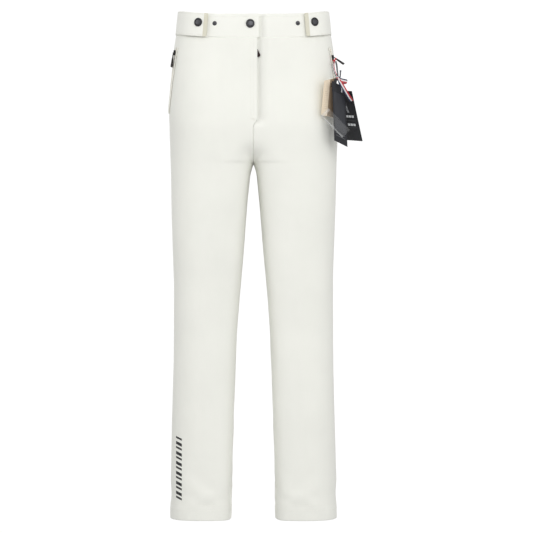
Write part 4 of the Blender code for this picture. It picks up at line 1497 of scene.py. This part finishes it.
class PocketZip:
    """The straight line of one pocket zip: X across it, Y up along it and Z outwards."""

    def __init__(self, name):
        self.down = Vector(JOINTS[f"{name}_pocket_slide"]["axis"]).normalized()
        self.across = -Vector(JOINTS[f"{name}_pull_flip"]["axis"]).normalized()
        self.out = self.down.cross(self.across).normalized()
        self.pivot = Vector(JOINTS[f"{name}_pull_flip"]["pos_m"])
        self.top = self.pivot - self.down * SLIDER_START[name] - self.out * PULL_HEIGHT

    def frame(self, down, height):
        return frame_at(self.top + self.down * down + self.out * height, self.across, self.out)

    def on_cloth(self, cloth, across, down, lift):
        start = self.top + self.down * down + self.across * across + self.out * 0.03
        place, outward = cloth.meet(start, -self.out)
        return place + outward * lift, outward


WELT = 0.0021
BARTACK_DOWN = 0.0035      # past either end of a pocket zip


def make_pocket_cloth(name, line, cloth):
    """The zip's tape and coil, the welt either side of it, and the stitches round it."""
    def column(across, lift, past, count):
        return [line.on_cloth(cloth, across, down, lift)
                for down in np.linspace(-past, POCKET_LENGTH + past, count)]

    def lay(across, down, height):
        place, outward = line.on_cloth(cloth, across, down + start, 0.0011)
        return place + outward * height

    start = SLIDER_START[name]
    grid = [column(across, 0.0008, 0.001, 44) for across in np.linspace(-ZIP_HALF_WIDTH, ZIP_HALF_WIDTH, 9)]
    dress(patch(f"{name}_pocket_tape", grid, 0.00035, TAPE), "trousers", "zip_tape", f"{name}_pocket_zip")
    dress(coil(f"{name}_pocket_teeth", lay, POCKET_LENGTH - start - 0.002, 0.0030, 0.0009, 0.0011, TEETH),
          "trousers", "zip_tape")
    for number, way in enumerate((1, -1), 1):
        grid = [column(way * (ZIP_HALF_WIDTH - 0.0006 + share * WELT),
                       0.0014 + 0.0009 * math.sin(math.pi * share), 0.003, 44)
                for share in np.linspace(0, 1, 8)]
        dress(patch(f"{name}_pocket_welt_{number}", grid, 0.0004, WHITE), "trousers", "shell_fabric")
        sewn(f"{name}_pocket_stitches_{number}", "trousers",
             column(way * (ZIP_HALF_WIDTH + WELT + 0.0014), 0.0, 0.003, 30))
    reach = ZIP_HALF_WIDTH + WELT + 0.001
    for number, down in enumerate((-BARTACK_DOWN, POCKET_LENGTH + BARTACK_DOWN), 1):
        bar = [line.on_cloth(cloth, across, down, 0.0003) for across in np.linspace(-reach, reach, 8)]
        sewn(f"{name}_pocket_bartack_{number}", "trousers", bar, radius=0.0005, length=0.0010,
             gap=BARTACK_GAP)


def make_pockets(cloth):
    for name, side in SIDES:
        line = PocketZip(name)
        make_pocket_cloth(name, line, cloth)
        place = line.frame(SLIDER_START[name], SLIDER_HEIGHT)
        zip_slider(f"{name}_pocket_slider_body", POCKET_SLIDER, place, f"{name}_pocket_runner",
                   f"{name}_pocket_slider")
        lift, reach = LEFT_PULL_LIFT if side > 0 else 0.0, PULL_REACHES[name]
        hang = frame_at(line.pivot, line.across, line.out) @ Matrix.Rotation(-lift, 4, "X")
        core = plate(f"{name}_pull_core", pull_outline(reach, 0.0050, 0.0120), 0.0012, hang, RUBBER, 0.0004)
        foot = rounded([(x, y - reach) for x, y in PULL_FOOT], 0.0018)
        foot = plate(f"{name}_pull_foot", foot, PULL_THICK, hang, RUBBER, 0.0006)
        grips = []
        for number in range(GRIPS):
            place = hang @ Matrix.Translation((0, GRIPS_TOP - reach - GRIP_STEP * number, 0))
            size = (0.0050 + 0.0009 * number, 0.0009, PULL_THICK + 0.0005)
            grips.append(slab(f"{name}_grip_{number}", size, place, RUBBER, 0.0003))
        pull = merged(f"{name}_pocket_pull_grip", [core, foot] + grips, RUBBER)
        dress(pull, f"{name}_pocket_puller", "black_plastic", f"{name}_pocket_pull")
        if side > 0:
            make_ribbon_tie(hang)


RING_DOWN = 0.0045         # how far down the pull the ribbon is looped round it


def make_ribbon_tie(hang):
    """The red end of the ribbon: a ring round the pull, and a strand from it to where the tags swing."""
    swing = Vector(JOINTS["tags_swing"]["pos_m"])
    ring = [hang @ Vector((0.0034 * math.cos(turn), -RING_DOWN, 0.0016 * math.sin(turn)))
            for turn in np.linspace(0, 2 * math.pi * 1.1, 30)]
    ring = ribbon_strip("pull_ring", ring, hang.to_3x3() @ Vector((0, 1, 0)), (RED, RED), 0.0026)
    dress(ring, "left_pocket_puller", "ribbon")
    start = hang @ Vector((0.0030 * (1 if (hang.inverted() @ swing).x > 0 else -1), -RING_DOWN, -0.0018))
    strand = smooth_route((start, start.lerp(swing, 0.5) + Vector((0.0006, -0.0006, -0.0004)), swing), 0.0008)
    strand = ribbon_strip("ring_strand", strand, (1.0, 0.0, 0.3), (RED, RED), 0.0032)
    dress(strand, "left_pocket_runner", "ribbon")


BAG_DEPTH = 0.0052


def make_pocket_bags(cloth):
    """The pocket bags hang inside the shell, from the zip forwards."""
    for name, side in SIDES:
        grid = []
        for share in np.linspace(0, 1, 12):
            column = []
            for drop in np.linspace(0.086, 0.268, 16):
                low_round = smooth_step((drop - 0.235) / 0.033) * 0.012
                angle = math.radians(-14 - (52 - low_round * 900) * share)
                way = Vector((side * math.cos(angle), math.sin(angle), 0))
                place, outward = cloth.meet(Vector((side * 0.080, 0, -drop)) + way * 0.2, -way)
                column.append((place - outward * BAG_DEPTH, outward))
            grid.append(column)
        bag = patch(f"{name}_pocket_bag_cloth", grid, 0.0006, MESH_LINER)
        dress(bag, "trousers", "lining_fabric", f"{name}_pocket_bag")


# ---- The hang tags ----
# The ribbon's route, repeated from the CAD
RIBBON_ROUTE = ((0.1630, -0.0520, -0.1065), (0.1612, -0.0620, -0.1152), (0.1645, -0.0760, -0.1304),
                (0.1709, -0.0900, -0.1442), (0.1765, -0.0965, -0.1545), (0.1842, -0.0950, -0.1680),
                (0.1913, -0.0890, -0.1793), (0.1976, -0.0810, -0.1873))
RIBBON_WIDTH, RIBBON_THICK = 0.0044, 0.0007
ROUTE_STEP = 0.0012
MAIN_WIDTHS = (0.0034, 0.0036, 0.0040, 0.0074, 0.0080, 0.0080)     # it is gathered above the knot
KNOT = Vector((0.1690, -0.0880, -0.1405))


CORNERS_APART = 0.003      # points of a card farther apart than this are different corners


class Card:
    """A card's plane, read from its CAD node: X along its top edge, Y up its side and Z towards the front."""

    def __init__(self, node):
        points = np.array([vertex.co for vertex in frame["nodes"][node].data.vertices])
        normal = Vector(np.linalg.svd(points - points.mean(0), full_matrices=False)[2][2])
        if normal.y > 0:
            normal = -normal
        level = points @ np.array(normal)
        flat = points - np.outer(level - float(np.mean(level)), normal)
        flat = sorted({tuple(round(float(v), 5) for v in point) for point in flat}, key=lambda p: -p[2])
        corners = [Vector(flat[0])]
        for point in flat:
            if all((Vector(point) - corner).length > CORNERS_APART for corner in corners):
                corners.append(Vector(point))
        top, low = sorted(corners[:2], key=lambda p: p.x), sorted(corners[2:4], key=lambda p: p.x)
        side = (top[0] - low[0]).normalized()
        self.frame = frame_at(top[0], side.cross(normal), normal)
        inverse = self.frame.inverted()
        self.corners = [tuple((inverse @ corner).xy) for corner in (top[0], low[0], low[1], top[1])]

    def lifted(self, height):
        return self.frame @ Matrix.Translation((0, 0, height))

    def at(self, across, down):
        """A point of the card from its shares across and down."""
        a, b, c, d = (Vector(corner) for corner in self.corners)
        left, right = a.lerp(b, down), d.lerp(c, down)
        return left.lerp(right, across)


CARD_THICK = 0.0006
INK_THICK = 0.00014


def mark(card, name, bar, finish, level):
    """A printed bar or a painted shadow on a card: left, right, top, low end and slant, as shares of the
    card.
    """
    left, right, top, low, slant = (*bar, 0.0)[:5]
    shares = ((left + slant, top), (left, low), (right, low), (right + slant, top))
    outline = [tuple(card.at(across, down)) for across, down in shares]
    lift = CARD_THICK / 2 + INK_THICK * (level - 0.5)
    return plate(name, outline, INK_THICK, card.lifted(lift), finish, 0.00003)


# Each print, or painted shadow: its card, finish, slot, level (how many prints high it is) and bars
PRINTS = {
    # the cream card's right part is coloured brown: a painted shadow of the narrow black card
    "cream_tag_painted_shadow": ("cream_tag", CREAM_TAG_PAINTED_SHADOW, "cream_card", 1, [(0.46, 0.985, 0.01, 0.99)]),
    "cream_tag_bars": ("cream_tag", BLACK_CARD, "black_card", 2, [
        (0.52, 0.86, 0.110 + 0.030 * k, 0.128 + 0.030 * k, 0.03) for k in range(4)]),
    "cream_tag_lines": ("cream_tag", TAN_INK, "cream_card", 1, [
        (0.12, 0.40 if k % 3 else 0.30, 0.32 + 0.06 * k, 0.327 + 0.06 * k) for k in range(9)]),
    "wide_tag_leaves": ("wide_black_tag", SILVER_INK, "black_card", 1, [
        (0.34 + 0.05 * k, 0.46 + 0.05 * k, 0.215 + 0.078 * k, 0.280 + 0.078 * k, -0.06) for k in range(3)]),
    "wide_tag_print": ("wide_black_tag", WHITE_INK, "black_card", 1, [
        (start, start + 0.14, top, top + 0.045) for top in (0.490, 0.655) for start in (0.30, 0.47, 0.64)]),
    "wide_tag_rules": ("wide_black_tag", GREY_INK, "black_card", 1, [
        (0.06, 0.86, top, top + 0.004) for top in (0.595, 0.735)]),
    "narrow_tag_panel": ("narrow_black_tag", GLOSS_CARD, "black_card", 1, [(0.10, 0.90, 0.16, 0.80)]),
    "narrow_tag_print": ("narrow_black_tag", GREY_INK, "black_card", 1, [
        (0.14, 0.84, 0.84 + 0.045 * k, 0.850 + 0.045 * k) for k in range(2)]),
}
# Each card: its finish, slot, corner radius, and its hole's place, as shares across and down, and radius
CARDS = {
    "cream_tag": (CREAM_CARD, "cream_card", 0.0012, (0.80, 0.06), 0.0012),
    "narrow_black_tag": (BLACK_CARD, "black_card", 0.0010, (0.64, 0.03), 0.0012),
    "wide_black_tag": (BLACK_CARD, "black_card", 0.0010, (0.80, 0.115), 0.0018),
}
EYELET = ((1.0, 0.0004), (1.15, 0.0006), (1.4, 0.0005), (1.45, 0.0002), (1.0, 0.0002), (1.0, 0.0004))


def make_cards():
    cards = {name: Card(name) for name in CARDS}
    for name, (finish, slot, corner, hole_place, radius) in CARDS.items():
        card = cards[name]
        hole = card.at(*hole_place)
        piece = plate(f"{name}_card", rounded(card.corners, corner), CARD_THICK, card.frame, finish, 0.0001,
                      [(hole.x, hole.y, radius)])
        dress(piece, "tag_bunch", slot, name)
        ring = turned(f"{name}_eyelet", [(radius * share, height) for share, height in EYELET],
                      card.frame @ Matrix.Translation((hole.x, hole.y, 0)), RIM_SHADE_AND_EYELET_GUNMETAL, 28)
        dress(ring, "tag_bunch", slot)
    for name, (card, finish, slot, level, bars) in PRINTS.items():
        marks = [mark(cards[card], f"{name}_{k}", bar, finish, level) for k, bar in enumerate(bars)]
        dress(merged(name, marks, finish), "tag_bunch", slot)
    make_sleeve(Card("clear_sleeve"))


def make_sleeve(card):
    """A clear plastic sleeve, two films welded along the edges and slightly puffed."""
    rows, columns = 15, 23
    middle = [[card.at(across, down) for down in np.linspace(0, 1, columns)]
              for across in np.linspace(0, 1, rows)]
    points = []
    for way in (1, -1):
        for r, row in enumerate(middle):
            for c, place in enumerate(row):
                puff = math.sin(math.pi * r / (rows - 1)) * math.sin(math.pi * c / (columns - 1))
                crinkle = 0.0003 * rough(r * 0.6, c * 0.6, way)
                height = way * 0.0001 + (way * 0.0006 + crinkle) * min(1.0, puff * 3)
                points.append(card.frame @ Vector((place.x, place.y, height)))
    made = mesh_piece("clear_sleeve_film", points, double_net_faces(rows, columns), FILM, WELD)
    for polygon in made.data.polygons:
        row, column = divmod(polygon.index % ((rows - 1) * (columns - 1)), columns - 1)
        polygon.material_index = int(row < 2 or column < 2)
    dress(made, "tag_bunch", "clear_film", "clear_sleeve")


def ribbon_strip(name, route, across, finishes, width, twist=0.0):
    """A flat ribbon along a route, in stripes; across is its width's direction at the start, and the width
    may be a list of widths along it."""
    columns = 3 * len(finishes) + 1
    points = []
    across = Vector(across)
    width = np.atleast_1d(width)
    widths = np.interp(np.linspace(0, 1, len(route)), np.linspace(0, 1, len(width)), width)
    for i, place in enumerate(route):
        along = (route[min(i + 1, len(route) - 1)] - route[max(i - 1, 0)]).normalized()
        across = (across - along * across.dot(along)).normalized()
        turned_by = Matrix.Rotation(twist * i / (len(route) - 1), 4, along)
        wide = turned_by @ across
        up = along.cross(wide)
        for c in range(columns):
            share = 2 * c / (columns - 1) - 1
            points.append(place + wide * share * widths[i] / 2 + up * 0.0005 * (1 - share ** 2))
    made = mesh_piece(name, points, net_faces(len(route), columns), *finishes)
    for polygon in made.data.polygons:
        polygon.material_index = min(len(finishes) - 1, (polygon.index % (columns - 1)) // 3)
    modify(made, "SOLIDIFY", thickness=RIBBON_THICK, offset=0)
    modify(made, "BEVEL", width=0.00015, segments=1, limit_method="ANGLE", angle_limit=math.radians(50))
    return settled(made)


def near_knot(*steps):
    return smooth_route([KNOT + Vector(step) for step in steps], ROUTE_STEP)


def make_ribbon():
    route = smooth_route(RIBBON_ROUTE, ROUTE_STEP)
    stripes = (RED, PALE, NAVY)
    main = ribbon_strip("tricolour_ribbon", route, (-1.0, 0.0, -0.3), stripes, MAIN_WIDTHS, 0.5)
    dress(main, "tag_bunch", "ribbon", "tag_ribbon")
    start = Vector(RIBBON_ROUTE[0])
    strand = [start + Vector(step) for step in ((0.0035, -0.003, 0.001), (0.0052, -0.016, -0.010),
                                                (0.0056, -0.028, -0.019))]
    strand = smooth_route(strand + [KNOT + Vector((0.001, -0.001, 0))], ROUTE_STEP)
    swing = Vector(JOINTS["tags_swing"]["pos_m"])
    up = (swing - start).normalized()
    loop = [start.lerp(swing, 0.5) + up * 0.0034 * math.sin(turn) + Vector((0.0016 * math.cos(turn), 0, 0))
            for turn in np.linspace(-math.pi / 2, 1.6 * math.pi, 34)]
    bow = near_knot((0, 0, 0), (0.005, -0.003, -0.0045), (0.0110, -0.004, -0.0065), (0.0165, -0.003, -0.0075),
                    (0.0185, 0.000, -0.0085), (0.0150, 0.002, -0.0100), (0.0090, 0.002, -0.0100),
                    (0.0030, 0.000, -0.0080))
    tail = near_knot((0.002, -0.002, -0.003), (0.004, -0.004, -0.012), (0.008, -0.004, -0.022),
                     (0.0085, -0.003, -0.030))
    black = near_knot((-0.001, 0, -0.001), (-0.004, -0.001, -0.006), (-0.006, -0.002, -0.013),
                      (-0.0055, -0.003, -0.020))
    wrap = [KNOT + Vector((0.0026 * math.cos(turn), 0.0030 * math.sin(turn), 0.0012 * math.sin(turn * 0.5)))
            for turn in np.linspace(0, 2 * math.pi * 1.6, 44)]
    extras = [ribbon_strip("second_strand", strand, (1.0, 0.1, 0.3), (BLACK_CORD, GREY_CORD), 0.0034, 0.5),
              ribbon_strip("slider_loop", loop, (0, 1, 0), (RED, RED), 0.0030),
              ribbon_strip("bow_loop", bow, (0.4, 0.1, 0.9), stripes, 0.0075),
              ribbon_strip("short_tail", tail, (1.0, 0.1, 0.3), (NAVY, PALE, NAVY), 0.0040, 0.5),
              ribbon_strip("black_loop", black, (1.0, -0.1, 0.2), (BLACK_CORD, BLACK_CORD), 0.0066, 0.4),
              ribbon_strip("knot", wrap, (0, 0, 1), stripes, 0.0036)]
    for piece in extras:
        dress(piece, "tag_bunch", "ribbon")
    measured = sum((b - a).length for a, b in zip(route, route[1:]))
    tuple(RIBBON_ROUTE[0])
    [tuple(place) for place in route]


def make_tag_pin():
    low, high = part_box("tag_pin")
    x, y = (low.x + high.x) / 2, (low.y + high.y) / 2
    top, end = Vector((x + 0.0004, y, high.z)), Vector((x - 0.0004, y, low.z))
    place = frame_at(end, Vector((1, 0, 0)), top - end)
    length = (top - end).length
    profile = [(0.0, length), (0.0015, length), (0.0018, length - 0.0006), (0.0018, length - 0.0024),
               (0.0014, length - 0.0030)]
    profile += [(0.00125 + 0.00015 * (k % 2), length - 0.0030 - 0.0009 * k) for k in range(1, 10)]
    profile += [(0.0011, 0.0010), (0.0014, 0.0006), (0.0014, 0.0001), (0.0, 0.0)]
    dress(turned("tagging_pin_shaft", profile, place, PIN_PLASTIC, 14), "tag_bunch", "clear_film", "tag_pin")


# ---- Stage, lights and camera ----
WORLD_STRENGTH = 0.58
BACKDROP_GLOW = 1.05


def make_stage():
    world = bpy.data.worlds.new("studio")
    bpy.context.scene.world = world
    world.use_nodes = True
    sky = world.node_tree.nodes["Background"].inputs
    sky["Color"].default_value = (1, 1, 1, 1)
    sky["Strength"].default_value = WORLD_STRENGTH

    shape = bmesh.new()
    bmesh.ops.create_icosphere(shape, subdivisions=4, radius=14)
    mesh = bpy.data.meshes.new("backdrop")
    shape.to_mesh(mesh)
    shape.free()
    backdrop = linked("backdrop", mesh)
    white = bpy.data.materials.new("studio_white")
    white.use_nodes = True
    nodes = white.node_tree.nodes
    nodes.remove(nodes["Principled BSDF"])
    glow = nodes.new("ShaderNodeEmission")
    glow.inputs["Strength"].default_value = BACKDROP_GLOW
    white.node_tree.links.new(glow.outputs[0], nodes["Material Output"].inputs["Surface"])
    mesh.materials.append(white)
    floor = mesh_piece("floor", [(-6, -6, 0), (6, -6, 0), (6, 6, 0), (-6, 6, 0)], [(0, 1, 2, 3)], white)
    floor.location.z = -HEM - 0.004
    for piece in (backdrop, floor):
        piece.visible_diffuse = piece.visible_shadow = piece.visible_glossy = False


def light(name, place, aim, size, power):
    """A rectangular lamp that looks from its place towards a point."""
    lamp = bpy.data.lights.new(name, "AREA")
    lamp.shape = "RECTANGLE"
    lamp.size, lamp.size_y = size
    lamp.energy = power
    made = linked(name, lamp)
    made.location = place
    made.rotation_euler = (Vector(aim) - Vector(place)).to_track_quat("-Z", "Y").to_euler()


# Each lamp's place, the point it looks at, its size and its power
LIGHTS = {
    "key": ((0.65, -3.3, 1.25), (0, 0, -0.30), (2.4, 2.4), 56),
    "left_fill": ((-2.2, -1.0, 0.6), (0, 0, -0.3), (1.2, 1.2), 11),
    "right_fill": ((2.2, -1.5, 0.1), (0, 0, -0.5), (1.2, 1.8), 8),
    "back_light": ((-0.6, 3.3, 0.9), (0, 0, -0.4), (2.4, 2.4), 34),
}
CAMERA_PLACE = (0.0265, -5.0, -0.519)
CAMERA_LENS = 165.6


def make_camera():
    camera = bpy.data.cameras.new("camera")
    made = linked("camera", camera)
    bpy.context.scene.camera = made
    camera.sensor_width = 36
    camera.lens = CAMERA_LENS
    made.location = CAMERA_PLACE
    made.rotation_euler = (math.pi / 2, 0, 0)
    bpy.context.scene.view_settings.view_transform = "Standard"


# ---- The whole garment ----
make_camera()
make_stage()
for name, values in LIGHTS.items():
    light(name, *values)

panels = make_shell()
cloth = Cloth(panels.values())
make_waistband()
make_front_tab()
make_side_tabs()
make_snaps()
make_fly()
make_fly_stitching(cloth)
make_pockets(cloth)
make_pocket_bags(cloth)
make_linings()
make_gaiters()
make_scuff_guards(cloth)
make_hem_stitching(cloth)
make_leg_print(cloth)
make_ribbon()
make_cards()
make_tag_pin()
for name, piece in panels.items():
    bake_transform(piece)
